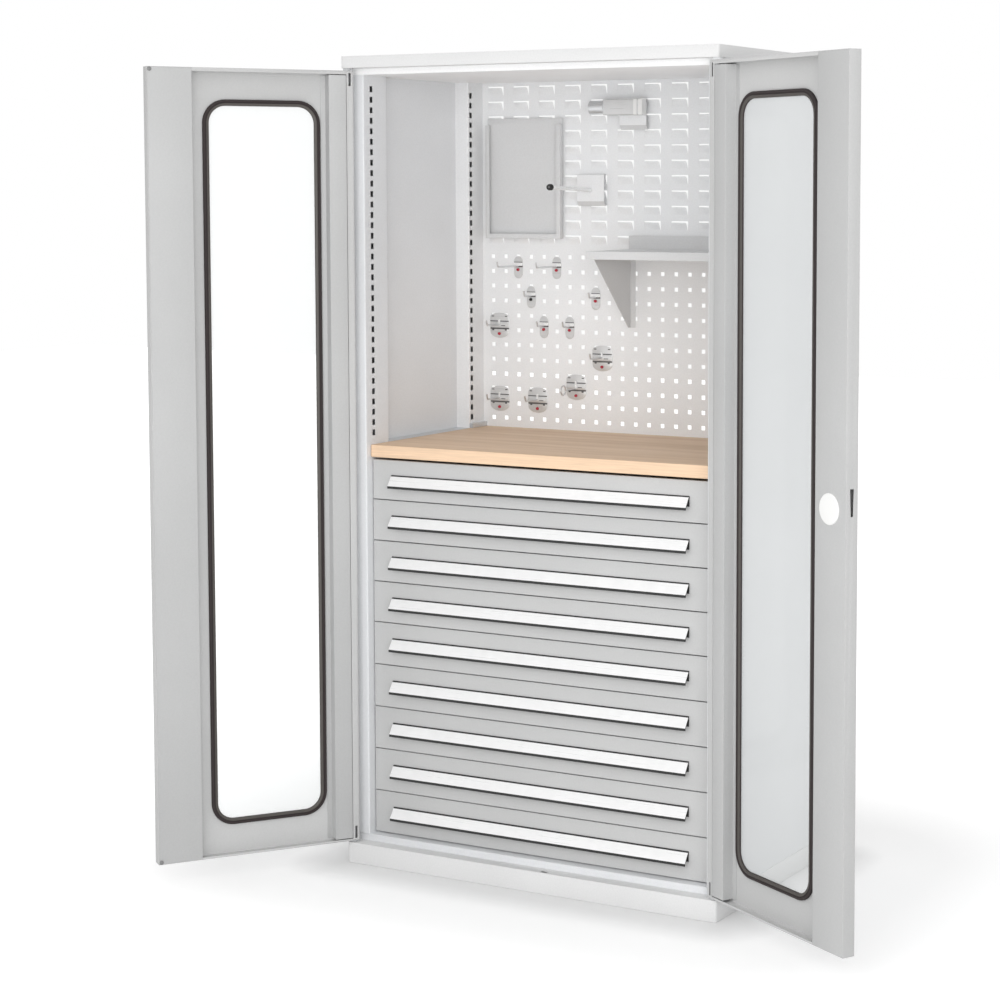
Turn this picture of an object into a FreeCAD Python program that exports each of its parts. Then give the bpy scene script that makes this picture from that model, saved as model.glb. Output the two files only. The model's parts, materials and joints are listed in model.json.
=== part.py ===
import FreeCAD, Part
import math
import os

# Double-door workbench cabinet in sheet steel. Millimetres, +Z up, +Y to the rear.
# The origin is the centre of the footprint on the floor. The doors stand open.

# Carcass
WIDTH = 1000.0
DEPTH = 600.0
HEIGHT = 1950.0
SHEET = 1.5
PLINTH_HEIGHT = 50.0
PLINTH_SHEET = 2.0
PLINTH_FLANGE = 62.0
PLINTH_BRACE_WIDTH = 100.0
CAP_HEIGHT = 28.0
CAP_FLANGE = 62.0
CORNER_RADIUS = 6.0
SIDE_INSET = 1.5
SIDE_FOLD = 20.0
FLOOR_RISE = 17.0
FLOOR_BEND = 3.0
CEILING_DROP = 15.0

# Corner posts
POST_SHEET = 2.0
POST_PROJECTION = 38.5
FRONT_POST_DEPTH = 96.5
REAR_POST_DEPTH = 96.5

# Rear tool panels
PANEL_INSET = 31.0
PANEL_FLANGE = 20.0
LOUVRED_HEIGHT = 422.0
PUNCH_MARGIN = 5.0
HOLE_SIZE = 10.0
HOLE_PITCH = 38.0
HOLE_BASE_RISE = 24.0
HOLE_SHIFT = 9.5
LOUVRE_PITCH_X = 76.0
LOUVRE_PITCH_Z = 38.0
LOUVRE_WIDTH = 46.0
LOUVRE_HEIGHT = 20.0
LOUVRE_PROJECTION = 7.0
LOUVRE_TOP_DROP = 12.0

# Worktop
WORKTOP_UNDERSIDE = 991.0
WORKTOP_THICKNESS = 30.0
WORKTOP_SETBACK = 49.0
WORKTOP_SIDE_GAP = 1.0
WORKTOP_CORNER_RADIUS = 5.0
BEARER_SHEET = 2.0
BEARER_FOOT = 25.0
CORNER_STRIP_WIDTH = 10.0
CORNER_STRIP_HEIGHT = 12.0

# Drawers
FRONT_SETBACK = 58.0
UPPER_DRAWERS = 4
UPPER_PITCH = 100.0
LOWER_DRAWERS = 5
LOWER_PITCH = 103.9
DRAWER_GAP = 2.5
DRAWER_SIDE_GAP = 2.5
TOP_DRAWER_GAP = 3.5
FLOOR_GAP = 1.5
FRONT_FLANGE = 15.0
TRAY_LENGTH = 495.0
TRAY_RISE = 12.0
TRAY_HEADROOM = 16.0

# Telescopic slides
RUNNER_DEPTH = 12.0
RUNNER_SHEET = 2.0
RUNNER_HEIGHT = 24.0
RUNNER_RISE = 27.0
RUNNER_LENGTH = 500.0
RUNNER_SETBACK = 20.0
RUNNER_CLEARANCE = 0.4
RAIL_WIDTH = 27.0
RAIL_END_GAP = 1.0

# Drawer handles
HANDLE_LENGTH = 804.0
HANDLE_DROP = 39.0
HANDLE_HEIGHT = 30.0
HANDLE_PROJECTION = 20.0
HANDLE_BLADE_DROP = 21.0
HANDLE_LIP = 6.0
HANDLE_WALL = 2.5

# Doors
DOOR_THICKNESS = 30.0
DOOR_BACK_GAP = 4.0
DOOR_BOTTOM_GAP = 5.0
DOOR_TOP_GAP = 6.0
DOOR_MIDDLE_GAP = 3.0
LEFT_OPEN_ANGLE = 125.5
RIGHT_OPEN_ANGLE = 150.5
HINGE_INSET = 8.5
HINGE_RETURN = 17.0
HINGE_SLOT_WIDTH = 6.0
HINGE_SLOT_HEIGHT = 30.0
HINGE_SLOT_RISE = 6.0
PIN_RADIUS = 5.0
PIN_CLEARANCE = 0.3
PIN_REACH = 38.0
COLLAR_WIDTH = 16.0
COLLAR_CLEARANCE = 0.3
HINGE_STILE_START = 18.0
HINGE_STILE_WIDTH = 43.0
HINGE_STILE_SHORT = 2.0
HINGE_STILE_FLANGE = 12.0
LOCK_STILE_WIDTH = 105.0
DOOR_HEAD_RETURN = 9.0
DOOR_FOOT_RETURN = 5.0
BUFFER_RADIUS = 5.0
BUFFER_THICKNESS = 2.5
BUFFER_INSET = 6.0
BUFFER_SIDES = 12

# Door windows
WINDOW_START = 75.0
WINDOW_STILE_GAP = 31.0
WINDOW_BOTTOM = 125.0
WINDOW_TOP_GAP = 72.0
WINDOW_RADIUS = 55.0
GASKET_WIDTH = 15.0
GASKET_GRIP = 7.0
GASKET_THICKNESS = 6.5
PANE_THICKNESS = 3.0
PANE_EDGE_GAP = 1.5

# Rotary rod lock on the right door
LOCK_OFFSET = 56.0
LOCK_RISE = 982.0
KNOB_RADIUS = 33.0
KNOB_DEPTH = 24.0
KNOB_FOOT = 7.0
KNOB_GRIP_RADIUS = 27.0
KNOB_GRIP_WIDTH = 20.0
KNOB_GRIP_CORNER = 6.0
KNOB_CLEARANCE = 0.4
SPINDLE_WIDTH = 8.0
SPINDLE_CLEARANCE = 0.4
CAM_LENGTH = 40.0
CAM_WIDTH = 14.0
CAM_THICKNESS = 3.0
CAM_INSET = 5.0
CRANK_RADIUS = 14.0
CRANK_ANGLE = 45.0
CRANK_PIN_RADIUS = 3.0
CRANK_PIN_LENGTH = 7.0
ROD_WIDTH = 19.0
ROD_THICKNESS = 4.0
ROD_CAM_GAP = 1.0
ROD_TIP_WIDTH = 12.0
ROD_TIP_LENGTH = 26.0
ROD_CLEARANCE = 0.5
ROD_PULL_BACK = 0.5
ROD_EYE_MARGIN = 5.0
CRANK_SLOT_PLAY = 1.2
CRANK_SLOT_LENGTH = 15.2
STRIKE_PLAY = 3.0
BOLT_SLOT_BOTTOM = 971.0
BOLT_SLOT_HEIGHT = 57.0
BOLT_SLOT_TOP_WIDTH = 10.0
BOLT_SLOT_BOTTOM_WIDTH = 6.0
COVER_RADIUS = 33.0
COVER_THICKNESS = 4.0
ROUND_SIDES = 32

# Panel hooks, by column and row of the upper left hole that each plate hangs in
HOOK_PLATE = 2.0
HOOK_WIRE_RADIUS = 2.5
SINGLE_PLATE_WIDTH = 26.0
SINGLE_PLATE_HEIGHT = 57.0
DOUBLE_PLATE_WIDTH = 58.0
DOUBLE_PLATE_HEIGHT = 66.0
SINGLE_PLATE_CORNER = 8.0
DOUBLE_PLATE_CORNER = 14.0
SINGLE_TOP_RISE = 1.0
DOUBLE_TOP_RISE = 6.0
SINGLE_WIRE_DROP = 25.0
DOUBLE_WIRE_DROP = 30.0
LOOP_WIRE_DROP = 36.0
LONG_HOOK = 100.0
SHORT_HOOK = 32.0
DOUBLE_HOOK = 60.0
HOOK_TIP = 13.0
HOOK_TIP_LEAN = 4.5
LOOP_REACH = 66.0
LOOP_RADIUS = 12.0
LOOP_SIDES = 12
HOOK_PIN_RADIUS = 3.5
HOOK_PIN_LENGTH = 5.0
SINGLE_PIN_RISE = 22.0
DOUBLE_PIN_RISE = 11.0
LONG_SINGLES = ((2, 0), (5, 0))
SHORT_SINGLES = ((3, 2), (8, 2), (4, 4), (6, 4))
PLAIN_DOUBLES = ((0, 4), (8, 6), (3, 9), (0, 9))
LOOP_DOUBLES = ((6, 8),)

# Document holder on the louvres
DOCUMENT_INSET = 20.5
DOCUMENT_DROP = 91.0
DOCUMENT_WIDTH = 222.0
DOCUMENT_HEIGHT = 306.0
DOCUMENT_DEPTH = 14.0
DOCUMENT_LIP = 12.0
DOCUMENT_RIM_DROP = 17.0

# Holder plates that stand off the louvres
PLATE_STAND = 8.0
PLATE_HOOK = 14.0
PLATE_LIP = 12.0

# Rod holder on the louvres
ROD_HOLDER_INSET = 328.0
ROD_HOLDER_DROP = 274.0
ROD_PLATE_WIDTH = 78.0
ROD_PLATE_HEIGHT = 79.0
PEG_RADIUS = 6.0
PEG_LENGTH = 196.0
PEG_RISE = 7.5
PEG_CAP_RADIUS = 9.0
PEG_CAP_LENGTH = 12.0

# Tube holder on the louvres
TUBE_INSET = 336.0
TUBE_LENGTH = 151.0
TUBE_RADIUS = 20.5
TUBE_HOLDER_DROP = 68.0
TUBE_SADDLE = 26.0
TUBE_PLATE_INSET = 411.5
TUBE_PLATE_WIDTH = 75.0
TUBE_PLATE_HEIGHT = 76.0
TUBE_PLATE_DROP = 56.0

# Shelf on the panels
SHELF_INSET = 433.5
SHELF_END_GAP = 33.5
SHELF_DEPTH = 220.0
SHELF_RISE = 1.0
SHELF_LIP = 20.0
SHELF_UPSTAND = 34.0
BRACKET_DEPTH = 207.0
BRACKET_HEIGHT = 195.0
BRACKET_NOSE = 12.0
BRACKET_FLANGE = 16.0

# Planes worked out from the sizes above
FRONT = -DEPTH / 2
BACK = DEPTH / 2
FRAME_Y = FRONT + DOOR_THICKNESS + DOOR_BACK_GAP
SIDE_OUTER = WIDTH / 2 - SIDE_INSET
SIDE_INNER = SIDE_OUTER - SHEET
REAR_OUTER = BACK - SIDE_INSET
REAR_INNER = REAR_OUTER - SHEET
BACK_PANEL_FRONT = REAR_INNER - SHEET
FLOOR_TOP = PLINTH_HEIGHT + FLOOR_RISE
CAP_UNDERSIDE = HEIGHT - CAP_HEIGHT
CEILING = CAP_UNDERSIDE - CEILING_DROP
POST_FACE = SIDE_INNER - POST_PROJECTION
FRONT_POST_REAR = FRAME_Y + FRONT_POST_DEPTH
REAR_POST_FRONT = BACK_PANEL_FRONT - REAR_POST_DEPTH
PANEL_Y = BACK - PANEL_INSET
LOUVRE_Y = PANEL_Y - LOUVRE_PROJECTION
PLATE_FACE = LOUVRE_Y - PLATE_STAND
WORKTOP_TOP = WORKTOP_UNDERSIDE + WORKTOP_THICKNESS
WORKTOP_FRONT = FRONT + WORKTOP_SETBACK
WORKTOP_HALF = POST_FACE - WORKTOP_SIDE_GAP
PERFORATED_TOP = CEILING - LOUVRED_HEIGHT
PERFORATED_HEIGHT = PERFORATED_TOP - WORKTOP_TOP
PANEL_WIDTH = 2 * POST_FACE
HOLE_COLUMNS = int((PANEL_WIDTH - HOLE_SIZE - 2 * HOLE_SHIFT - 2 * PUNCH_MARGIN) / HOLE_PITCH) + 1
HOLE_ROWS = int((PERFORATED_HEIGHT - HOLE_BASE_RISE - HOLE_SIZE / 2 - PUNCH_MARGIN) / HOLE_PITCH) + 1
LOUVRE_COLUMNS = int((PANEL_WIDTH - LOUVRE_WIDTH - 2 * PUNCH_MARGIN) / LOUVRE_PITCH_X) + 1
LOUVRE_SPAN = LOUVRED_HEIGHT - LOUVRE_TOP_DROP - LOUVRE_HEIGHT - PUNCH_MARGIN
LOUVRE_ROWS = int(LOUVRE_SPAN / LOUVRE_PITCH_Z) + 1
DRAWER_FRONT = FRONT + FRONT_SETBACK
DRAWER_COUNT = UPPER_DRAWERS + LOWER_DRAWERS
RUNNER_FRONT = DRAWER_FRONT + RUNNER_SETBACK
RUNNER_INNER_HALF = RUNNER_HEIGHT / 2 - RUNNER_SHEET
RAIL_OUTER = POST_FACE - RUNNER_SHEET - RAIL_END_GAP
RAIL_INNER = RAIL_OUTER - RAIL_WIDTH
TRAY_HALF = RAIL_INNER - RAIL_END_GAP - RUNNER_SHEET
DOOR_BOTTOM = PLINTH_HEIGHT + DOOR_BOTTOM_GAP
DOOR_TOP = CAP_UNDERSIDE - DOOR_TOP_GAP
DOOR_EDGE = SIDE_OUTER
DOOR_WIDTH = DOOR_EDGE - DOOR_MIDDLE_GAP / 2
HINGE_X = DOOR_EDGE - HINGE_INSET
HINGE_Y = FRONT + DOOR_THICKNESS / 2
WINDOW_WIDTH = DOOR_WIDTH - LOCK_STILE_WIDTH - WINDOW_STILE_GAP - WINDOW_START
WINDOW_HEIGHT = DOOR_TOP - WINDOW_TOP_GAP - WINDOW_BOTTOM
LOCK_U = DOOR_WIDTH - LOCK_OFFSET
LOCK_X = DOOR_EDGE - LOCK_U
CRANK_HALF_WIDTH = CRANK_RADIUS * math.cos(math.radians(CRANK_ANGLE))
CRANK_HALF_TRAVEL = CRANK_RADIUS * math.sin(math.radians(CRANK_ANGLE))
CAM_DEPTH = SHEET + CAM_INSET
DOCUMENT_LEFT = DOCUMENT_INSET - POST_FACE
DOCUMENT_BOTTOM = CEILING - DOCUMENT_DROP - DOCUMENT_HEIGHT
ROD_HOLDER_X = ROD_HOLDER_INSET - POST_FACE
ROD_HOLDER_Z = CEILING - ROD_HOLDER_DROP
TUBE_LEFT = TUBE_INSET - POST_FACE
TUBE_HOLDER_Z = CEILING - TUBE_HOLDER_DROP
TUBE_PLATE_LEFT = TUBE_PLATE_INSET - POST_FACE
SHELF_LEFT = SHELF_INSET - POST_FACE
SHELF_RIGHT = POST_FACE - SHELF_END_GAP
SHELF_TOP = PERFORATED_TOP + SHELF_RISE
TOLERANCE = 0.001
ROD_DEPTH = CAM_DEPTH + CAM_THICKNESS + ROD_CAM_GAP


def vector(x, y, z):
    return FreeCAD.Vector(x, y, z)


X_AXIS = vector(1, 0, 0)
Y_AXIS = vector(0, 1, 0)
Z_AXIS = vector(0, 0, 1)


def block(x0, x1, y0, y1, z0, z1):
    """A box between two corners."""
    return Part.makeBox(x1 - x0, y1 - y0, z1 - z0, vector(x0, y0, z0))


def fillet_along(shape, axis, radius):
    """Round every straight edge that runs along an axis."""
    edges = []
    for edge in shape.Edges:
        if abs(edge.tangentAt(edge.FirstParameter).dot(axis)) > 1 - TOLERANCE:
            edges.append(edge)
    return shape.makeFillet(radius, edges)


def profile_x(points, x0, x1):
    """A side view outline of (y, z) points, carried from x0 to x1."""
    corners = [vector(x0, y, z) for y, z in points]
    face = Part.Face(Part.makePolygon(corners + corners[:1]))
    return face.extrude(vector(x1 - x0, 0, 0))


def profile_y(points, y0, y1):
    """A front view outline of (x, z) points, carried from y0 to y1."""
    corners = [vector(x, y0, z) for x, z in points]
    face = Part.Face(Part.makePolygon(corners + corners[:1]))
    return face.extrude(vector(0, y1 - y0, 0))


def profile_z(points, z0, z1):
    """A plan outline of (x, y) points, carried from z0 to z1."""
    corners = [vector(x, y, z0) for x, y in points]
    face = Part.Face(Part.makePolygon(corners + corners[:1]))
    return face.extrude(vector(0, 0, z1 - z0))


def round_outline(a, b, radius, sides):
    """Corner points of a regular outline about (a, b)."""
    points = []
    for index in range(sides):
        angle = 2 * math.pi * index / sides
        points.append((a + radius * math.cos(angle), b + radius * math.sin(angle)))
    return points


def cut_corner_plate(x, top, width, height, corner, y0, y1):
    """An upright plate with its four corners cut off."""
    half = width / 2
    bottom = top - height
    outline = [
        (x - half, bottom + corner), (x - half + corner, bottom), (x + half - corner, bottom),
        (x + half, bottom + corner), (x + half, top - corner), (x + half - corner, top),
        (x - half + corner, top), (x - half, top - corner),
    ]
    return profile_y(outline, y0, y1)


def mirrored(shape):
    """The same piece on the other side of the middle plane."""
    return shape.mirror(vector(0, 0, 0), X_AXIS)


def pair(shape):
    return [shape, mirrored(shape)]


def fused(solids):
    return solids[0].multiFuse(solids[1:]).removeSplitter()


def save(name, shapes):
    """Write one node: a single solid, or a group of separate solids."""
    shape = shapes[0] if len(shapes) == 1 else Part.makeCompound(shapes)
    shape.exportStep("parts/%s.step" % name)


# Carcass


def strike_slot(x, z0, z1):
    """The slot that a lock rod's tip enters when the door is shut."""
    half_x = ROD_TIP_WIDTH / 2 + STRIKE_PLAY
    y0 = FRONT + ROD_DEPTH - STRIKE_PLAY
    y1 = FRONT + ROD_DEPTH + ROD_THICKNESS + STRIKE_PLAY
    return block(x - half_x, x + half_x, y0, y1, z0, z1)


def flanged_frame(z0, z1, sheet, flange):
    """A rounded band round the footprint, hollow between its top and bottom sheets."""
    outer = fillet_along(block(-WIDTH / 2, WIDTH / 2, FRONT, BACK, z0, z1), Z_AXIS, CORNER_RADIUS)
    inner = block(
        -WIDTH / 2 + sheet, WIDTH / 2 - sheet, FRONT + sheet, BACK - sheet, z0 + sheet, z1 - sheet
    )
    inner = fillet_along(inner, Z_AXIS, CORNER_RADIUS - sheet)
    half = WIDTH / 2 - flange
    return outer, inner, half


def plinth():
    outer, inner, half = flanged_frame(0, PLINTH_HEIGHT, PLINTH_SHEET, PLINTH_FLANGE)
    y0 = FRONT + PLINTH_FLANGE
    y1 = BACK - PLINTH_FLANGE
    top_opening = block(-half, half, y0, y1, PLINTH_HEIGHT - PLINTH_SHEET, PLINTH_HEIGHT)
    floor_opening = block(PLINTH_BRACE_WIDTH / 2, half, y0, y1, 0, PLINTH_SHEET)
    strike = strike_slot(LOCK_X - CRANK_HALF_WIDTH, PLINTH_HEIGHT - PLINTH_SHEET, PLINTH_HEIGHT)
    return outer.cut([inner, top_opening, strike] + pair(floor_opening))


def roof_cap():
    outer, inner, half = flanged_frame(CAP_UNDERSIDE, HEIGHT, SHEET, CAP_FLANGE)
    opening = block(
        -half, half, FRONT + CAP_FLANGE, BACK - CAP_FLANGE, CAP_UNDERSIDE, CAP_UNDERSIDE + SHEET
    )
    strike = strike_slot(LOCK_X + CRANK_HALF_WIDTH, CAP_UNDERSIDE, CAP_UNDERSIDE + SHEET)
    return outer.cut([inner, opening, strike])


def bottom_pan():
    """The floor, folded down at front and rear to stand on the plinth."""
    rear = BACK_PANEL_FRONT
    outer = block(-SIDE_INNER, SIDE_INNER, FRAME_Y, rear, PLINTH_HEIGHT, FLOOR_TOP)
    front_edge = []
    for edge in outer.Edges:
        box = edge.BoundBox
        along_x = box.XLength > SIDE_INNER
        if along_x and box.ZMin > FLOOR_TOP - TOLERANCE and box.YMax < FRAME_Y + TOLERANCE:
            front_edge.append(edge)
    outer = outer.makeFillet(FLOOR_BEND, front_edge)
    inner = block(
        -SIDE_INNER, SIDE_INNER, FRAME_Y + SHEET, rear - SHEET, PLINTH_HEIGHT, FLOOR_TOP - SHEET
    )
    return outer.cut(inner)


def ceiling_pan():
    """The ceiling, folded up at front and rear to hang from the roof cap."""
    outer = block(-SIDE_INNER, SIDE_INNER, FRAME_Y, BACK_PANEL_FRONT, CEILING, CAP_UNDERSIDE)
    inner = block(
        -SIDE_INNER, SIDE_INNER, FRAME_Y + SHEET, BACK_PANEL_FRONT - SHEET,
        CEILING + SHEET, CAP_UNDERSIDE,
    )
    return outer.cut(inner)


def side_panel():
    """The right wall with its rear fold."""
    fold = SIDE_OUTER - SIDE_FOLD
    outline = [
        (SIDE_OUTER, FRAME_Y), (SIDE_OUTER, REAR_OUTER), (fold, REAR_OUTER),
        (fold, REAR_INNER), (SIDE_INNER, REAR_INNER), (SIDE_INNER, FRAME_Y),
    ]
    return profile_z(outline, PLINTH_HEIGHT, CAP_UNDERSIDE)


def post(front, rear):
    """A folded channel welded to the right wall."""
    outline = [
        (SIDE_INNER, front), (POST_FACE, front), (POST_FACE, rear), (SIDE_INNER, rear),
        (SIDE_INNER, rear - POST_SHEET), (POST_FACE + POST_SHEET, rear - POST_SHEET),
        (POST_FACE + POST_SHEET, front + POST_SHEET), (SIDE_INNER, front + POST_SHEET),
    ]
    return profile_z(outline, FLOOR_TOP, CEILING)


def tool_panel(z0, z1):
    """A sheet between the rear posts with its four edges folded to the rear."""
    outer = block(-POST_FACE, POST_FACE, PANEL_Y, PANEL_Y + PANEL_FLANGE, z0, z1)
    inner = block(
        -POST_FACE + SHEET, POST_FACE - SHEET, PANEL_Y + SHEET, PANEL_Y + PANEL_FLANGE,
        z0 + SHEET, z1 - SHEET,
    )
    return outer.cut(inner)


def hole_centre(column, row):
    """The (x, z) centre of a perforation, columns from the left and rows from the top."""
    x = HOLE_SHIFT + (column - (HOLE_COLUMNS - 1) / 2) * HOLE_PITCH
    z = WORKTOP_TOP + HOLE_BASE_RISE + (HOLE_ROWS - 1 - row) * HOLE_PITCH
    return x, z


def perforated_panel():
    holes = []
    half = HOLE_SIZE / 2
    for column in range(HOLE_COLUMNS):
        for row in range(HOLE_ROWS):
            x, z = hole_centre(column, row)
            holes.append(block(x - half, x + half, PANEL_Y, PANEL_Y + SHEET, z - half, z + half))
    return tool_panel(WORKTOP_TOP, PERFORATED_TOP).cut(Part.makeCompound(holes))


def louvred_panel():
    """Each louvre is pressed out of the sheet: flush at its foot, proud at its top."""
    solids = [tool_panel(PERFORATED_TOP, CEILING)]
    for column in range(LOUVRE_COLUMNS):
        x = (column - (LOUVRE_COLUMNS - 1) / 2) * LOUVRE_PITCH_X
        for row in range(LOUVRE_ROWS):
            top = CEILING - LOUVRE_TOP_DROP - row * LOUVRE_PITCH_Z
            outline = [(PANEL_Y, top - LOUVRE_HEIGHT), (PANEL_Y, top), (LOUVRE_Y, top)]
            solids.append(profile_x(outline, x - LOUVRE_WIDTH / 2, x + LOUVRE_WIDTH / 2))
    return fused(solids)


def lower_back_panel():
    return block(-SIDE_INNER, SIDE_INNER, BACK_PANEL_FRONT, REAR_INNER, PLINTH_HEIGHT, WORKTOP_UNDERSIDE)


# Worktop


def worktop():
    board = block(
        -WORKTOP_HALF, WORKTOP_HALF, WORKTOP_FRONT, BACK_PANEL_FRONT - SHEET,
        WORKTOP_UNDERSIDE, WORKTOP_TOP,
    )
    corners = []
    for edge in board.Edges:
        if edge.BoundBox.ZLength > WORKTOP_THICKNESS / 2 and edge.BoundBox.YMax < 0:
            corners.append(edge)
    return board.makeFillet(WORKTOP_CORNER_RADIUS, corners)


def worktop_bearer():
    """A stepped rail along the right wall: a ledge beside the board and a foot under it."""
    leg = WORKTOP_HALF + BEARER_SHEET
    outline_y = (FRONT_POST_REAR, REAR_POST_FRONT)
    ledge = block(WORKTOP_HALF, SIDE_INNER, *outline_y, WORKTOP_TOP - BEARER_SHEET, WORKTOP_TOP)
    wall = block(WORKTOP_HALF, leg, *outline_y, WORKTOP_UNDERSIDE - BEARER_SHEET, WORKTOP_TOP)
    foot = block(
        WORKTOP_HALF - BEARER_FOOT, leg, *outline_y, WORKTOP_UNDERSIDE - BEARER_SHEET, WORKTOP_UNDERSIDE
    )
    return fused([ledge, wall, foot])


def corner_strip():
    """A short steel strip on the board beside the right rear post."""
    return block(
        POST_FACE - CORNER_STRIP_WIDTH, POST_FACE, REAR_POST_FRONT, PANEL_Y,
        WORKTOP_TOP, WORKTOP_TOP + CORNER_STRIP_HEIGHT,
    )


# Drawers


def drawer_levels():
    """The (bottom, top) of each drawer front, from the top drawer down."""
    bottom = FLOOR_TOP + FLOOR_GAP
    levels = []
    for index in range(DRAWER_COUNT):
        pitch = LOWER_PITCH if index < LOWER_DRAWERS else UPPER_PITCH
        top = bottom + pitch
        levels.append((bottom + DRAWER_GAP / 2, top - DRAWER_GAP / 2))
        bottom = top
    stack_top = levels[-1]
    levels[-1] = (stack_top[0], stack_top[1] + DRAWER_GAP / 2 - TOP_DRAWER_GAP)
    return levels[::-1]


def channel(web_x, open_x, y0, y1, middle):
    """A slide channel on its side: a web at one x and two flanges that reach to the other."""
    low = min(web_x, open_x)
    high = max(web_x, open_x)
    outer = block(low, high, y0, y1, middle - RUNNER_HEIGHT / 2, middle + RUNNER_HEIGHT / 2)
    shift = RUNNER_SHEET if open_x > web_x else -RUNNER_SHEET
    inner = block(
        low + shift, high + shift, y0, y1, middle - RUNNER_INNER_HALF, middle + RUNNER_INNER_HALF
    )
    return outer.cut(inner)


def fixed_runners(levels):
    solids = []
    for bottom, top in levels:
        rail = channel(
            POST_FACE, POST_FACE - RUNNER_DEPTH, RUNNER_FRONT, RUNNER_FRONT + RUNNER_LENGTH,
            bottom + TRAY_RISE + RUNNER_RISE,
        )
        solids += pair(rail)
    return solids


def middle_rails(bottom):
    """The pair of sliding rails between the fixed channels and the tray's channels."""
    middle = bottom + TRAY_RISE + RUNNER_RISE
    half = RUNNER_INNER_HALF - RUNNER_CLEARANCE
    return pair(
        block(
            RAIL_INNER, RAIL_OUTER, RUNNER_FRONT, RUNNER_FRONT + RUNNER_LENGTH,
            middle - half, middle + half,
        )
    )


def drawer(bottom, top):
    """A folded front with its tray and the channels on the tray's sides."""
    half = POST_FACE - DRAWER_SIDE_GAP
    front = block(-half, half, DRAWER_FRONT, DRAWER_FRONT + FRONT_FLANGE, bottom, top)
    front_inside = block(
        -half + SHEET, half - SHEET, DRAWER_FRONT + SHEET, DRAWER_FRONT + FRONT_FLANGE,
        bottom + SHEET, top - SHEET,
    )
    tray_front = DRAWER_FRONT + SHEET
    tray_rear = tray_front + TRAY_LENGTH
    floor = bottom + TRAY_RISE
    rim = top - TRAY_HEADROOM
    tray = block(-TRAY_HALF, TRAY_HALF, tray_front, tray_rear, floor, rim)
    tray_inside = block(
        -TRAY_HALF + SHEET, TRAY_HALF - SHEET, tray_front + SHEET, tray_rear - SHEET, floor + SHEET, rim
    )
    rail = channel(
        TRAY_HALF, TRAY_HALF + RUNNER_DEPTH, RUNNER_FRONT, tray_rear, floor + RUNNER_RISE
    )
    return fused([front.cut(front_inside), tray.cut(tray_inside)] + pair(rail))


def drawer_handle(top):
    """A grip strip: a plate on the front, a slanting blade and a turned-down lip."""
    z0 = top - HANDLE_DROP
    out = DRAWER_FRONT - HANDLE_PROJECTION
    lip_top = z0 - HANDLE_BLADE_DROP
    outline = [
        (DRAWER_FRONT, z0),
        (DRAWER_FRONT - HANDLE_WALL, z0),
        (out, lip_top),
        (out, lip_top - HANDLE_LIP),
        (out + HANDLE_WALL, lip_top - HANDLE_LIP),
        (out + HANDLE_WALL, lip_top),
        (DRAWER_FRONT - HANDLE_WALL, z0 - 2 * HANDLE_WALL),
        (DRAWER_FRONT - HANDLE_WALL, z0 - HANDLE_HEIGHT),
        (DRAWER_FRONT, z0 - HANDLE_HEIGHT),
    ]
    return profile_x(outline, -HANDLE_LENGTH / 2, HANDLE_LENGTH / 2)


# Doors: modelled shut on the right side, u from the hinge edge and d from the outer face


def door_block(u0, u1, d0, d1, z0, z1):
    return block(DOOR_EDGE - u1, DOOR_EDGE - u0, FRONT + d0, FRONT + d1, z0, z1)


def window_plate(inset, d0, d1):
    """A round-cornered plate of the window's outline, drawn in by an inset."""
    u0 = WINDOW_START + inset
    u1 = WINDOW_START + WINDOW_WIDTH - inset
    z0 = WINDOW_BOTTOM + inset
    z1 = WINDOW_BOTTOM + WINDOW_HEIGHT - inset
    return fillet_along(door_block(u0, u1, d0, d1, z0, z1), Y_AXIS, WINDOW_RADIUS - inset)


def rod_x(upper):
    return LOCK_X + CRANK_HALF_WIDTH if upper else LOCK_X - CRANK_HALF_WIDTH


def rod_section(x, half_width, grow, z0, z1):
    y0 = FRONT + ROD_DEPTH - grow
    y1 = FRONT + ROD_DEPTH + ROD_THICKNESS + grow
    return block(x - half_width - grow, x + half_width + grow, y0, y1, z0, z1)


def lock_cuts():
    """Openings in the right door's skin: spindle hole, rod slots and bolt slot."""
    half = SPINDLE_WIDTH / math.sqrt(2) + SPINDLE_CLEARANCE
    spindle = block(
        LOCK_X - half, LOCK_X + half, FRONT, FRONT + SHEET, LOCK_RISE - half, LOCK_RISE + half
    )
    tip = ROD_TIP_WIDTH / 2
    upper = rod_section(rod_x(True), tip, ROD_CLEARANCE, DOOR_TOP - SHEET, DOOR_TOP)
    lower = rod_section(rod_x(False), tip, ROD_CLEARANCE, DOOR_BOTTOM, DOOR_BOTTOM + SHEET)
    middle = FRONT + DOOR_THICKNESS / 2
    bolt_top = BOLT_SLOT_BOTTOM + BOLT_SLOT_HEIGHT
    bolt_outline = [
        (middle - BOLT_SLOT_BOTTOM_WIDTH / 2, BOLT_SLOT_BOTTOM),
        (middle + BOLT_SLOT_BOTTOM_WIDTH / 2, BOLT_SLOT_BOTTOM),
        (middle + BOLT_SLOT_TOP_WIDTH / 2, bolt_top),
        (middle - BOLT_SLOT_TOP_WIDTH / 2, bolt_top),
    ]
    free_edge = DOOR_EDGE - DOOR_WIDTH
    return [spindle, upper, lower, profile_x(bolt_outline, free_edge, free_edge + SHEET)]


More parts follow.
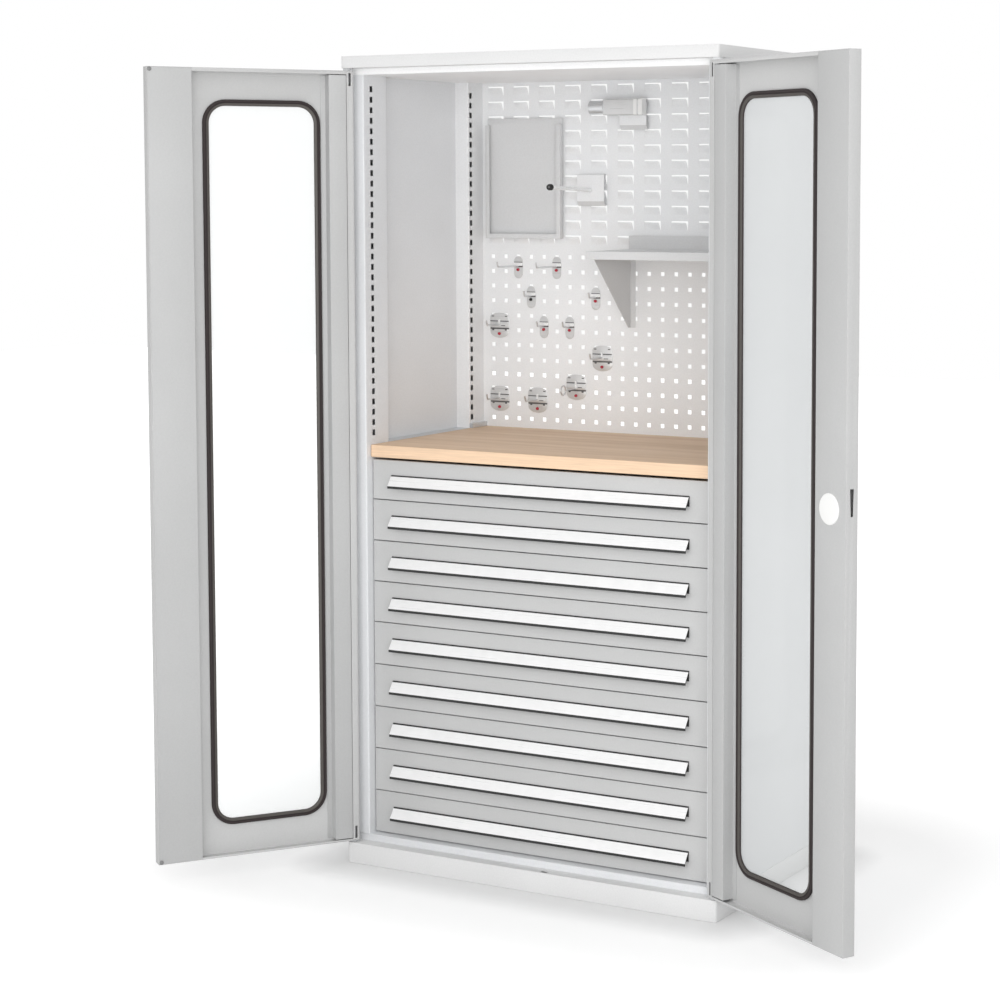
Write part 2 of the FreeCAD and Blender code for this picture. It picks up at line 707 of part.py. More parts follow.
def door_skin(with_lock):
    """The folded outer pan with its end returns, window, hinge holes and hinge slots."""
    pan = door_block(0, DOOR_WIDTH, 0, DOOR_THICKNESS, DOOR_BOTTOM, DOOR_TOP)
    inner_level = DOOR_THICKNESS - SHEET
    hollow = door_block(
        SHEET, DOOR_WIDTH - SHEET, SHEET, inner_level, DOOR_BOTTOM + SHEET, DOOR_TOP - SHEET
    )
    mouth = door_block(
        HINGE_RETURN, DOOR_WIDTH - SHEET, inner_level, DOOR_THICKNESS,
        DOOR_BOTTOM + DOOR_FOOT_RETURN, DOOR_TOP - DOOR_HEAD_RETURN,
    )
    stile_bay = door_block(
        DOOR_WIDTH - LOCK_STILE_WIDTH, DOOR_WIDTH - SHEET, inner_level, DOOR_THICKNESS,
        DOOR_BOTTOM + SHEET, DOOR_TOP - SHEET,
    )
    cuts = [hollow, mouth, stile_bay, window_plate(GASKET_GRIP, 0, SHEET)]
    slot_u = (SHEET + HINGE_RETURN) / 2 - HINGE_SLOT_WIDTH / 2
    for z in (DOOR_BOTTOM + HINGE_SLOT_RISE, DOOR_TOP - HINGE_SLOT_RISE - HINGE_SLOT_HEIGHT):
        cuts.append(
            door_block(
                slot_u, slot_u + HINGE_SLOT_WIDTH, inner_level, DOOR_THICKNESS, z, z + HINGE_SLOT_HEIGHT
            )
        )
    for z in (DOOR_BOTTOM, DOOR_TOP - SHEET):
        half = PIN_RADIUS + PIN_CLEARANCE
        cuts.append(block(HINGE_X - half, HINGE_X + half, HINGE_Y - half, HINGE_Y + half, z, z + SHEET))
    if with_lock:
        cuts += lock_cuts()
    return pan.cut(cuts)


def door_stiles():
    """The hinge stile, a channel with a flange on the skin, and the wide lock stile."""
    u0 = HINGE_STILE_START
    u1 = HINGE_STILE_START + HINGE_STILE_WIDTH
    low = DOOR_BOTTOM + DOOR_FOOT_RETURN + HINGE_STILE_SHORT
    high = DOOR_TOP - DOOR_HEAD_RETURN - HINGE_STILE_SHORT
    inner_level = DOOR_THICKNESS - SHEET
    hinge_channel = door_block(u0, u1, SHEET, DOOR_THICKNESS, low, high).cut(
        door_block(u0 + SHEET, u1 - SHEET, SHEET, inner_level, low, high)
    )
    flange = door_block(u1 - SHEET, u1 + HINGE_STILE_FLANGE, SHEET, 2 * SHEET, low, high)
    z0 = DOOR_BOTTOM + SHEET
    z1 = DOOR_TOP - SHEET
    u0 = DOOR_WIDTH - LOCK_STILE_WIDTH
    u1 = DOOR_WIDTH - SHEET
    lock_stile = door_block(u0, u1, SHEET, DOOR_THICKNESS, z0, z1).cut(
        door_block(u0 + SHEET, u1, SHEET, inner_level, z0, z1)
    )
    return [fused([hinge_channel, flange]), lock_stile]


def door_gasket():
    """A rubber ring inside the door that laps the skin's window edge and the pane."""
    inside = SHEET + GASKET_THICKNESS
    return window_plate(0, SHEET, inside).cut(window_plate(GASKET_WIDTH, SHEET, inside))


def door_buffers():
    """Two small round buffers on the lock stile's outer corners."""
    u = DOOR_EDGE - DOOR_WIDTH + BUFFER_INSET
    face = FRONT + DOOR_THICKNESS
    buffers = []
    for z in (DOOR_BOTTOM + BUFFER_INSET, DOOR_TOP - BUFFER_INSET):
        outline = round_outline(u, z, BUFFER_RADIUS, BUFFER_SIDES)
        buffers.append(profile_y(outline, face, face + BUFFER_THICKNESS))
    return buffers


def door_pane():
    return window_plate(GASKET_GRIP + PANE_EDGE_GAP, SHEET - PANE_THICKNESS, SHEET)


def opened(shapes, right):
    """Door pieces turned about their hinge to the open angle, on the right or the left."""
    turned = []
    for shape in shapes:
        piece = shape.copy() if right else mirrored(shape)
        x = HINGE_X if right else -HINGE_X
        angle = RIGHT_OPEN_ANGLE if right else -LEFT_OPEN_ANGLE
        piece.rotate(vector(x, HINGE_Y, 0), Z_AXIS, angle)
        turned.append(piece)
    return turned


def hinge_pins():
    """Pivot pins that stand on the plinth and hang from the cap, each with a square collar."""
    half = COLLAR_WIDTH / 2
    ends = (
        (PLINTH_HEIGHT, Z_AXIS, PLINTH_HEIGHT, DOOR_BOTTOM - COLLAR_CLEARANCE),
        (CAP_UNDERSIDE, -Z_AXIS, DOOR_TOP + COLLAR_CLEARANCE, CAP_UNDERSIDE),
    )
    pins = []
    for seat, direction, low, high in ends:
        shaft = Part.makeCylinder(PIN_RADIUS, PIN_REACH, vector(HINGE_X, HINGE_Y, seat), direction)
        collar = block(HINGE_X - half, HINGE_X + half, HINGE_Y - half, HINGE_Y + half, low, high)
        pins += pair(fused([shaft, collar]))
    return pins


# Lock


def lock_knob():
    """Round knob with a grip bar, its square spindle and the crank plate with two pins."""
    back = FRONT - KNOB_CLEARANCE
    body = Part.makeCylinder(KNOB_RADIUS, KNOB_FOOT, vector(LOCK_X, back, LOCK_RISE), -Y_AXIS)
    grip = cut_corner_plate(
        LOCK_X, LOCK_RISE + KNOB_GRIP_RADIUS, KNOB_GRIP_WIDTH, 2 * KNOB_GRIP_RADIUS, KNOB_GRIP_CORNER,
        back - KNOB_DEPTH, back - KNOB_FOOT,
    )
    side = SPINDLE_WIDTH / 2
    spindle = block(
        LOCK_X - side, LOCK_X + side, back, FRONT + CAM_DEPTH, LOCK_RISE - side, LOCK_RISE + side
    )
    cam_face = FRONT + CAM_DEPTH + CAM_THICKNESS
    cam = block(
        LOCK_X - CAM_LENGTH / 2, LOCK_X + CAM_LENGTH / 2, FRONT + CAM_DEPTH, cam_face,
        LOCK_RISE - CAM_WIDTH / 2, LOCK_RISE + CAM_WIDTH / 2,
    )
    cam.rotate(vector(LOCK_X, 0, LOCK_RISE), Y_AXIS, CRANK_ANGLE)
    pins = []
    for side in (1, -1):
        x = LOCK_X + side * CRANK_HALF_WIDTH
        z = LOCK_RISE - side * CRANK_HALF_TRAVEL
        pins.append(
            wire([vector(x, cam_face, z), vector(x, cam_face + CRANK_PIN_LENGTH, z)], CRANK_PIN_RADIUS)
        )
    return fused([body, grip, spindle, cam] + pins)


def lock_rod(upper):
    """A flat rod from its crank pin to the door's end fold, with a narrowed tip."""
    side = 1 if upper else -1
    x = rod_x(upper)
    pin_z = LOCK_RISE - side * CRANK_HALF_TRAVEL
    slot_half = CRANK_PIN_RADIUS + CRANK_SLOT_PLAY
    eye_end = pin_z - side * (slot_half + ROD_EYE_MARGIN)
    door_end = DOOR_TOP if upper else DOOR_BOTTOM
    tip_end = door_end - side * ROD_PULL_BACK
    shoulder = tip_end - side * ROD_TIP_LENGTH
    body = rod_section(x, ROD_WIDTH / 2, 0, min(eye_end, shoulder), max(eye_end, shoulder))
    tip = rod_section(x, ROD_TIP_WIDTH / 2, 0, min(shoulder, tip_end), max(shoulder, tip_end))
    slot = rod_section(x, CRANK_SLOT_LENGTH / 2, 0, pin_z - slot_half, pin_z + slot_half)
    return fused([body, tip]).cut(slot)


def lock_cover():
    """A round cap on the inner face of the lock stile, over the lock."""
    inner_face = FRONT + DOOR_THICKNESS
    outline = round_outline(LOCK_X, LOCK_RISE, COVER_RADIUS, ROUND_SIDES)
    return profile_y(outline, inner_face, inner_face + COVER_THICKNESS)


# Accessories on the rear panels


def wire(points, radius):
    """A six-sided wire with mitred bends along a path that starts along Y."""
    path = Part.makePolygon(points)
    start = points[0]
    corners = []
    for index in range(7):
        angle = math.radians(60 * index)
        corners.append(start + vector(radius * math.cos(angle), 0, radius * math.sin(angle)))
    return path.makePipeShell([Part.makePolygon(corners)], True, True, 1)


def wire_hook(x, z, reach):
    """A straight wire out of the plate with its tip turned up."""
    root = PANEL_Y - HOOK_PLATE
    return wire(
        [
            vector(x, root, z),
            vector(x, root - reach, z),
            vector(x, root - reach - HOOK_TIP_LEAN, z + HOOK_TIP),
        ],
        HOOK_WIRE_RADIUS,
    )


def loop_hook(x, z):
    """A short wire that ends in an upright flat ring."""
    root = PANEL_Y - HOOK_PLATE
    middle = root - LOOP_REACH
    stem = wire([vector(x, root, z), vector(x, middle + LOOP_RADIUS, z)], HOOK_WIRE_RADIUS)
    rings = []
    for radius in (LOOP_RADIUS + HOOK_WIRE_RADIUS, LOOP_RADIUS - HOOK_WIRE_RADIUS):
        outline = round_outline(middle, z, radius, LOOP_SIDES)
        rings.append(profile_x(outline, x - HOOK_WIRE_RADIUS, x + HOOK_WIRE_RADIUS))
    return fused([stem, rings[0]]).cut(rings[1])


def panel_hooks():
    """The hooks whose plates find room on the panel, and their locking pins."""
    hooks = []
    pins = []
    kinds = (
        (LONG_SINGLES, False, SINGLE_WIRE_DROP, LONG_HOOK),
        (SHORT_SINGLES, False, SINGLE_WIRE_DROP, SHORT_HOOK),
        (PLAIN_DOUBLES, True, DOUBLE_WIRE_DROP, DOUBLE_HOOK),
        (LOOP_DOUBLES, True, LOOP_WIRE_DROP, 0),
    )
    for places, double, drop, reach in kinds:
        for column, row in places:
            if row >= HOLE_ROWS - 1:
                continue
            x, z = hole_centre(column, row)
            x += HOLE_PITCH / 2 if double else 0
            top = z + (DOUBLE_TOP_RISE if double else SINGLE_TOP_RISE)
            width = DOUBLE_PLATE_WIDTH if double else SINGLE_PLATE_WIDTH
            height = DOUBLE_PLATE_HEIGHT if double else SINGLE_PLATE_HEIGHT
            corner = DOUBLE_PLATE_CORNER if double else SINGLE_PLATE_CORNER
            arm_z = top - drop
            pin_rise = DOUBLE_PIN_RISE if double else SINGLE_PIN_RISE
            arm = wire_hook(x, arm_z, reach) if reach else loop_hook(x, arm_z)
            plate = cut_corner_plate(x, top, width, height, corner, PANEL_Y - HOOK_PLATE, PANEL_Y)
            hooks.append(fused([plate, arm]))
            root = vector(x, PANEL_Y - HOOK_PLATE, top - height + pin_rise)
            pins.append(wire([root, root - Y_AXIS * HOOK_PIN_LENGTH], HOOK_PIN_RADIUS))
    return hooks, pins


def document_holder():
    """A flat tray for papers with folded rims on three sides, open at the top."""
    x0 = DOCUMENT_LEFT
    x1 = DOCUMENT_LEFT + DOCUMENT_WIDTH
    z0 = DOCUMENT_BOTTOM
    z1 = DOCUMENT_BOTTOM + DOCUMENT_HEIGHT
    front = LOUVRE_Y - DOCUMENT_DEPTH
    rim_top = z1 - DOCUMENT_RIM_DROP
    outer = block(x0, x1, front, LOUVRE_Y, z0, rim_top)
    pocket = block(x0 + SHEET, x1 - SHEET, front + SHEET, LOUVRE_Y - SHEET, z0 + SHEET, rim_top)
    mouth = block(
        x0 + DOCUMENT_LIP, x1 - DOCUMENT_LIP, front, front + SHEET, z0 + DOCUMENT_LIP, rim_top
    )
    head = block(x0, x1, LOUVRE_Y - SHEET, LOUVRE_Y, rim_top, z1)
    return fused([outer.cut([pocket, mouth]), head])


def standing_plate(x0, x1, z0, z1):
    """A plate in front of the louvres: its top folds back to hang on them, its foot slants back."""
    slope = PLATE_LIP / PLATE_STAND
    rise = SHEET * math.hypot(1, slope)
    back = PLATE_FACE + SHEET
    outline = [
        (LOUVRE_Y, z1 - PLATE_HOOK), (LOUVRE_Y, z1), (PLATE_FACE, z1), (PLATE_FACE, z0 + PLATE_LIP),
        (LOUVRE_Y, z0), (LOUVRE_Y, z0 + rise), (back, z0 + PLATE_LIP - slope * SHEET + rise),
        (back, z1 - SHEET), (LOUVRE_Y - SHEET, z1 - SHEET), (LOUVRE_Y - SHEET, z1 - PLATE_HOOK),
    ]
    return profile_x(outline, x0, x1)


def rod_holder():
    """A plate with a long, slightly rising peg, and the ring cap on the peg's end."""
    half_width = ROD_PLATE_WIDTH / 2
    half_height = ROD_PLATE_HEIGHT / 2
    plate = standing_plate(
        ROD_HOLDER_X - half_width, ROD_HOLDER_X + half_width,
        ROD_HOLDER_Z - half_height, ROD_HOLDER_Z + half_height,
    )
    root = vector(ROD_HOLDER_X, PLATE_FACE, ROD_HOLDER_Z)
    end = root + vector(0, -PEG_LENGTH, PEG_RISE)
    peg = wire([root, end], PEG_RADIUS)
    cap = wire([end, end - Y_AXIS * PEG_CAP_LENGTH], PEG_CAP_RADIUS)
    return fused([plate, peg]), cap


def tube_holder():
    """A level sleeve in front of a plate, held by a saddle."""
    axis_y = PLATE_FACE - TUBE_RADIUS
    tube = Part.makeCylinder(TUBE_RADIUS, TUBE_LENGTH, vector(TUBE_LEFT, axis_y, TUBE_HOLDER_Z), X_AXIS)
    x0 = TUBE_PLATE_LEFT
    x1 = TUBE_PLATE_LEFT + TUBE_PLATE_WIDTH
    bottom = TUBE_HOLDER_Z - TUBE_PLATE_DROP
    plate = standing_plate(x0, x1, bottom, bottom + TUBE_PLATE_HEIGHT)
    half = TUBE_SADDLE / 2
    saddle = block(x0, x1, axis_y, PLATE_FACE, TUBE_HOLDER_Z - half, TUBE_HOLDER_Z + half)
    return fused([plate, tube, saddle])


def panel_shelf():
    """A folded shelf with a front lip and a rear upstand, on two triangular brackets."""
    front = LOUVRE_Y - SHELF_DEPTH
    outline = [
        (front, SHELF_TOP), (front, SHELF_TOP - SHELF_LIP), (front + SHEET, SHELF_TOP - SHELF_LIP),
        (front + SHEET, SHELF_TOP - SHEET), (LOUVRE_Y, SHELF_TOP - SHEET),
        (LOUVRE_Y, SHELF_TOP + SHELF_UPSTAND), (LOUVRE_Y - SHEET, SHELF_TOP + SHELF_UPSTAND),
        (LOUVRE_Y - SHEET, SHELF_TOP),
    ]
    shelf = profile_x(outline, SHELF_LEFT, SHELF_RIGHT)
    top = SHELF_TOP - SHEET
    foot = max(top - BRACKET_HEIGHT, WORKTOP_TOP)
    gusset = [
        (PANEL_Y, top), (PANEL_Y - BRACKET_DEPTH, top),
        (PANEL_Y - BRACKET_NOSE, foot), (PANEL_Y, foot),
    ]
    brackets = []
    for x in (SHELF_LEFT, SHELF_RIGHT - BRACKET_FLANGE):
        web = profile_x(gusset, x, x + SHEET)
        flange = block(x, x + BRACKET_FLANGE, PANEL_Y - SHEET, PANEL_Y, foot, top)
        brackets.append(fused([web, flange]))
    return [shelf] + brackets


def build():
    os.makedirs("parts", exist_ok=True)
    levels = drawer_levels()
    hooks, hook_pins = panel_hooks()
    rod_plate, rod_cap = rod_holder()
    save("plinth", [plinth()])
    save("bottom_pan", [bottom_pan()])
    save("side_panels", pair(side_panel()))
    save("roof_cap", [roof_cap()])
    save("ceiling_pan", [ceiling_pan()])
    save("front_posts", pair(post(FRAME_Y, FRONT_POST_REAR)))
    save("rear_posts", pair(post(REAR_POST_FRONT, BACK_PANEL_FRONT)))
    save("perforated_panel", [perforated_panel()])
    save("louvred_panel", [louvred_panel()])
    save("lower_back_panel", [lower_back_panel()])
    save("worktop", [worktop()])
    save("worktop_fittings", pair(worktop_bearer()) + pair(corner_strip()))
    save("fixed_runners", fixed_runners(levels))
    save("hinge_pins", hinge_pins())
    save("panel_hooks", hooks)
    save("hook_pins", hook_pins)
    save("document_holder", [document_holder()])
    save("rod_holder", [rod_plate])
    save("rod_cap", [rod_cap])
    save("tube_holder", [tube_holder()])
    save("panel_shelf", panel_shelf())
    for right, side in ((False, "left"), (True, "right")):
        save("%s_door_skin" % side, opened([door_skin(right)], right))
        save("%s_door_stiles" % side, opened(door_stiles(), right))
        rubber = [door_gasket()] if right else [door_gasket()] + door_buffers()
        save("%s_gasket" % side, opened(rubber, right))
        save("%s_pane" % side, opened([door_pane()], right))
    save("lock_cover", opened([lock_cover()], True))
    save("lock_knob", opened([lock_knob()], True))
    save("upper_lock_rod", opened([lock_rod(True)], True))
    save("lower_lock_rod", opened([lock_rod(False)], True))
    for index, (bottom, top) in enumerate(levels):
        name = "drawer_%d" % (index + 1)
        save(name, [drawer(bottom, top)])
        save(name + "_handle", [drawer_handle(top)])
        save(name + "_rails", middle_rails(bottom))


build()
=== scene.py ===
import json
import math

import bmesh
import bpy
import numpy as np
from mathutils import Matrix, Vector

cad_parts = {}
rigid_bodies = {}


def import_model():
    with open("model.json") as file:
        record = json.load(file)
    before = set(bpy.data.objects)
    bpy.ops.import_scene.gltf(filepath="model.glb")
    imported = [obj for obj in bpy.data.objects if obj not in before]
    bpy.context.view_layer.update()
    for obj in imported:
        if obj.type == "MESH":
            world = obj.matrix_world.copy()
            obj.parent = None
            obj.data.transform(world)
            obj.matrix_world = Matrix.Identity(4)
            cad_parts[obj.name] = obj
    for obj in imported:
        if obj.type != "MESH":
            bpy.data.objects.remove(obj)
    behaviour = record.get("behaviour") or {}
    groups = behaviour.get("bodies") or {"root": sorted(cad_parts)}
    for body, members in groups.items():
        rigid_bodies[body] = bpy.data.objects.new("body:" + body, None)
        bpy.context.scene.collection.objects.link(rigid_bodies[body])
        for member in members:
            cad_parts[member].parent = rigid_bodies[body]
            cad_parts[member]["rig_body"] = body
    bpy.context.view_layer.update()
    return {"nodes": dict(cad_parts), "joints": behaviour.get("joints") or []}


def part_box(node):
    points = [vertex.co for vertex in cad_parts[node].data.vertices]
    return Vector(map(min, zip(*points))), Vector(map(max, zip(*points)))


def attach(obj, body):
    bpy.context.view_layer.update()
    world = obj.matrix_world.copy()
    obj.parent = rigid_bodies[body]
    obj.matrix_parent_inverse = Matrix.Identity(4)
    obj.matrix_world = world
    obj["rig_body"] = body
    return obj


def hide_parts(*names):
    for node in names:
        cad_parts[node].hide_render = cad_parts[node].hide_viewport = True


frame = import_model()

bl_info = {
    "name": "Workbench cabinet",
    "version": (1, 0, 0),
    "blender": (4, 5, 0),
    "location": "View3D > Sidebar > Cabinet",
    "description": "Finishes a steel workbench cabinet: coats, wood, glass, rubber and formed sheet detail",
    "category": "Object",
}

NODES = frame["nodes"]
JOINTS = {joint["name"]: joint for joint in frame["joints"]}
MM = 0.001


def low_corner(node):
    return np.array(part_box(node)[0])


def high_corner(node):
    return np.array(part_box(node)[1])


# Planes of the cabinet that the formed pieces are set against, and its repeated parts
FRONT = low_corner("roof_cap")[1]
DOOR_EDGE = high_corner("side_panels")[0]
POST_WALL = high_corner("front_posts")[0]
POST_FACE = high_corner("perforated_panel")[0]
PANEL_Y = low_corner("perforated_panel")[1]
LOUVRE_Y = low_corner("louvred_panel")[1]
PLATE_STAND = 8 * MM
PLATE_FACE = LOUVRE_Y - PLATE_STAND
WORKTOP_TOP = high_corner("worktop")[2]
CEILING = low_corner("ceiling_pan")[2]
DRAWERS = range(1, 10)
SIDES = ("left", "right")

# Tool panel grid and the hooks on it, by column and row of the upper left hole
HOLE_PITCH = 38 * MM
FIRST_HOLE_X = -427.5 * MM
FIRST_HOLE_Z = WORKTOP_TOP + 442 * MM
LONG_SINGLES = ((2, 0), (5, 0))
SHORT_SINGLES = ((3, 2), (8, 2), (4, 4), (6, 4))
PLAIN_DOUBLES = ((0, 4), (8, 6), (3, 9), (0, 9))
LOOP_DOUBLES = ((6, 8),)
BLACK_PIN_HOOK = (3, 2)

# What every colour setting shares
COLOUR = {"subtype": "COLOR", "size": 3, "min": 0, "max": 1}

# Points closer than this are one point; faces flatter than the first angle are one face, and edges
# sharper than the second one are rounded
SAME_POINT = 1e-6
FLAT_ANGLE = math.radians(1)
SHARP_ANGLE = math.radians(30)


class CabinetFinishes(bpy.types.PropertyGroup):
    """Colours of the cabinet's finishes."""

    body_coat: bpy.props.FloatVectorProperty(
        name="Body coat", description="Powder coat of the doors and drawers",
        default=(0.555, 0.557, 0.555), **COLOUR,
    )
    # Painted shade: a darker copy of the body coat, so that the stiles inside the doors look shaded
    stile_coat: bpy.props.FloatVectorProperty(
        name="Stile coat", description="Powder coat of the stiles inside the doors",
        default=(0.505, 0.508, 0.507), **COLOUR,
    )
    carcass_coat: bpy.props.FloatVectorProperty(
        name="Carcass coat", description="Powder coat of the walls, the floor pan and the front posts",
        default=(0.755, 0.765, 0.78), **COLOUR,
    )
    frame_coat: bpy.props.FloatVectorProperty(
        name="Frame coat", description="Lighter powder coat of the plinth and the roof cap",
        default=(0.74, 0.74, 0.74), **COLOUR,
    )
    panel_coat: bpy.props.FloatVectorProperty(
        name="Panel coat", description="Light powder coat of the tool panels and the rear posts",
        default=(0.85, 0.857, 0.865), **COLOUR,
    )
    # Painted light: the ceiling's coat is paler than the walls' so that this downward face, which gets
    # little light, shows as bright as they do
    ceiling_coat: bpy.props.FloatVectorProperty(
        name="Ceiling coat", description="Pale powder coat of the ceiling",
        default=(0.94, 0.94, 0.945), **COLOUR,
    )
    shelf_coat: bpy.props.FloatVectorProperty(
        name="Shelf coat", description="Powder coat of the shelf and the document holder",
        default=(0.685, 0.688, 0.692), **COLOUR,
    )
    wood_light: bpy.props.FloatVectorProperty(
        name="Wood, light", description="Pale grain of the worktop",
        default=(0.80, 0.58, 0.40), **COLOUR,
    )
    wood_dark: bpy.props.FloatVectorProperty(
        name="Wood, dark", description="Dark grain of the worktop",
        default=(0.68, 0.48, 0.32), **COLOUR,
    )
    handle_metal: bpy.props.FloatVectorProperty(
        name="Handle metal", description="Satin aluminium of the grip strips",
        default=(0.87, 0.87, 0.87), **COLOUR,
    )
    zinc: bpy.props.FloatVectorProperty(
        name="Zinc", description="Zinc plating of the slides, hooks and fittings",
        default=(0.68, 0.69, 0.70), **COLOUR,
    )
    rubber: bpy.props.FloatVectorProperty(
        name="Rubber", description="Window gaskets",
        default=(0.014, 0.012, 0.010), **COLOUR,
    )
    pin_red: bpy.props.FloatVectorProperty(
        name="Pin red", description="Moulded locking pins of the hooks",
        default=(0.38, 0.025, 0.05), **COLOUR,
    )


class CabinetSizes(bpy.types.PropertyGroup):
    """Sizes of the formed detail."""

    slot_pitch: bpy.props.FloatProperty(
        name="Slot pitch", description="Spacing of the shelf slots in the posts",
        unit="LENGTH", default=25 * MM, min=15 * MM,
    )
    slot_height: bpy.props.FloatProperty(
        name="Slot height", description="Height of a shelf slot", unit="LENGTH", default=14 * MM, min=2 * MM,
    )
    slot_width: bpy.props.FloatProperty(
        name="Slot width", description="Width of a shelf slot", unit="LENGTH", default=12 * MM, min=2 * MM,
    )
    slot_count: bpy.props.IntProperty(
        name="Slots", description="Shelf slots in each post", default=34, min=1,
    )
    slot_drop: bpy.props.FloatProperty(
        name="Slot drop", description="Top slot's middle below the ceiling", unit="LENGTH", default=33 * MM,
    )
    fold_radius: bpy.props.FloatProperty(
        name="Fold radius", description="Outer radius of a sheet fold", unit="LENGTH", default=3 * MM,
    )
    edge_round: bpy.props.FloatProperty(
        name="Edge round", description="Rounding of the cut and folded sheet edges",
        unit="LENGTH", default=0.6 * MM, min=0.1 * MM, max=0.7 * MM,
    )
    louvre_columns: bpy.props.IntProperty(
        name="Louvre columns", description="Louvres side by side", default=12,
    )
    louvre_rows: bpy.props.IntProperty(
        name="Louvre rows", description="Louvres one over another", default=11,
    )
    louvre_width: bpy.props.FloatProperty(
        name="Louvre width", description="Width of a pressed louvre", unit="LENGTH", default=46 * MM,
    )
    louvre_height: bpy.props.FloatProperty(
        name="Louvre height", description="Height of a pressed louvre", unit="LENGTH", default=20 * MM,
    )
    louvre_slit: bpy.props.FloatProperty(
        name="Louvre slit", description="Open slit over a louvre", unit="LENGTH", default=3.5 * MM,
    )
    worktop_round: bpy.props.FloatProperty(
        name="Worktop edge", description="Rounding of the worktop's edges", unit="LENGTH", default=2 * MM,
    )


class CabinetStage(bpy.types.PropertyGroup):
    """Camera, lamps and floor."""

    camera_place: bpy.props.FloatVectorProperty(
        name="Camera place", description="Camera position", subtype="XYZ", unit="LENGTH",
        default=(2.7472, -4.8738, 1.6341),
    )
    camera_turn: bpy.props.FloatProperty(
        name="Camera turn", description="Camera heading to the left of straight ahead",
        subtype="ANGLE", default=math.radians(28.579),
    )
    camera_tilt: bpy.props.FloatProperty(
        name="Camera tilt", description="Camera tilt below the horizon",
        subtype="ANGLE", default=math.radians(4.546),
    )
    camera_lens: bpy.props.FloatProperty(
        name="Lens", description="Focal length in millimetres", default=83.84,
    )
    camera_shift: bpy.props.FloatVectorProperty(
        name="Shift", description="Shift of the frame", size=2, default=(-0.12, -0.125),
    )
    sky_level: bpy.props.FloatProperty(
        name="Sky level", description="Strength of the light from all round", default=0.69, min=0,
    )
    front_lamp: bpy.props.FloatProperty(
        name="Front lamp", description="Power of the wide lamp in front", unit="POWER", default=26, min=0,
    )
    side_lamp: bpy.props.FloatProperty(
        name="Side lamp", description="Power of the lamp to the right of the front",
        unit="POWER", default=62, min=0,
    )
    near_lamp: bpy.props.FloatProperty(
        name="Near lamp", description="Power of the lamp close to the opening",
        unit="POWER", default=12, min=0,
    )
    top_lamp: bpy.props.FloatProperty(
        name="Top lamp", description="Power of the wide lamp overhead", unit="POWER", default=12, min=0,
    )
    floor_lift: bpy.props.FloatProperty(
        name="Floor lift", description="Brightness that the pale floor shows by itself", default=0.3, min=0,
    )
    # Painted shadow: the floor's own brightness at the plinth, kept low so that the floor looks shaded there
    painted_floor_shadow: bpy.props.FloatProperty(
        name="Floor shade", description="Brightness that the floor shows by itself at the plinth",
        default=0.0, min=0,
    )
    floor_white: bpy.props.FloatProperty(
        name="Floor white", description="Brightness that is added far from the plinth", default=0.5, min=0,
    )
    # How far the painted shadow reaches from the plinth
    painted_shadow_reach: bpy.props.FloatProperty(
        name="Shade reach", description="Distance from the plinth at which the floor's shade ends",
        unit="LENGTH", default=0.15, min=0.01,
    )
    white_reach: bpy.props.FloatVectorProperty(
        name="White reach", description="Distances from the plinth between which the floor turns white",
        size=2, unit="LENGTH", default=(0.3, 1.3),
    )


# Arrays of points and faces


def grid_faces(rows, columns, wrap_rows=False, wrap_columns=False):
    """Four-sided faces of a grid of points; a wrapped direction joins its last line to its first.
    A face's normal is the column direction crossed with the row direction."""
    row = np.arange(rows if wrap_rows else rows - 1)[:, None]
    column = np.arange(columns if wrap_columns else columns - 1)[None, :]
    after_row = (row + 1) % rows
    after_column = (column + 1) % columns
    corners = (
        row * columns + column, row * columns + after_column,
        after_row * columns + after_column, after_row * columns + column,
    )
    return np.stack(np.broadcast_arrays(*corners), -1)


def surface(points, wrap_rows=False, wrap_columns=False, keep=None):
    """A grid of points, rows by columns by 3, as a point list with its faces. Only cells in keep stay."""
    rows, columns = points.shape[:2]
    faces = grid_faces(rows, columns, wrap_rows, wrap_columns)
    cells = faces.reshape(-1, 4) if keep is None else faces[keep]
    return points.reshape(-1, 3), cells.tolist()


def stack(rings):
    """Closed rings one over another, with a flat cap on the first and the last."""
    points, faces = surface(rings, wrap_columns=True)
    count = rings.shape[1]
    last = len(points) - count
    return points, faces + [list(range(count))[::-1], list(range(last, last + count))]


def two_finishes(points, faces, second):
    """A part split in two: the faces whose numbers are in second take the second material."""
    second = set(second)
    plain = [face for number, face in enumerate(faces) if number not in second]
    other = [face for number, face in enumerate(faces) if number in second]
    return [(points, plain, 0), (points, other, 1)]


def arc(centre, radius, start, end, steps):
    """Points on a circle from one angle to another, in degrees."""
    angle = np.radians(np.linspace(start, end, steps))
    return np.stack([np.cos(angle), np.sin(angle)], -1) * radius + np.asarray(centre)


def rounded_rectangle(width, height, radius, steps=6):
    """Outline about the origin: four quarter circles, whose centres stand a radius in from each corner."""
    corners = []
    for index, (side, end) in enumerate(((1, 1), (-1, 1), (-1, -1), (1, -1))):
        centre = (side * (width / 2 - radius), end * (height / 2 - radius))
        corners.append(arc(centre, radius, index * 90, index * 90 + 90, steps))
    return np.concatenate(corners)


def domed_outline(width, height, top_rise, foot_rise, steps=14):
    """Outline about the origin: a half ellipse over and another under two straight sides."""
    upper = arc((0, 0), 1, 0, 180, steps) * (width / 2, top_rise) + (0, height / 2 - top_rise)
    lower = arc((0, 0), 1, 180, 360, steps) * (width / 2, foot_rise) - (0, height / 2 - foot_rise)
    return np.concatenate([upper, lower])


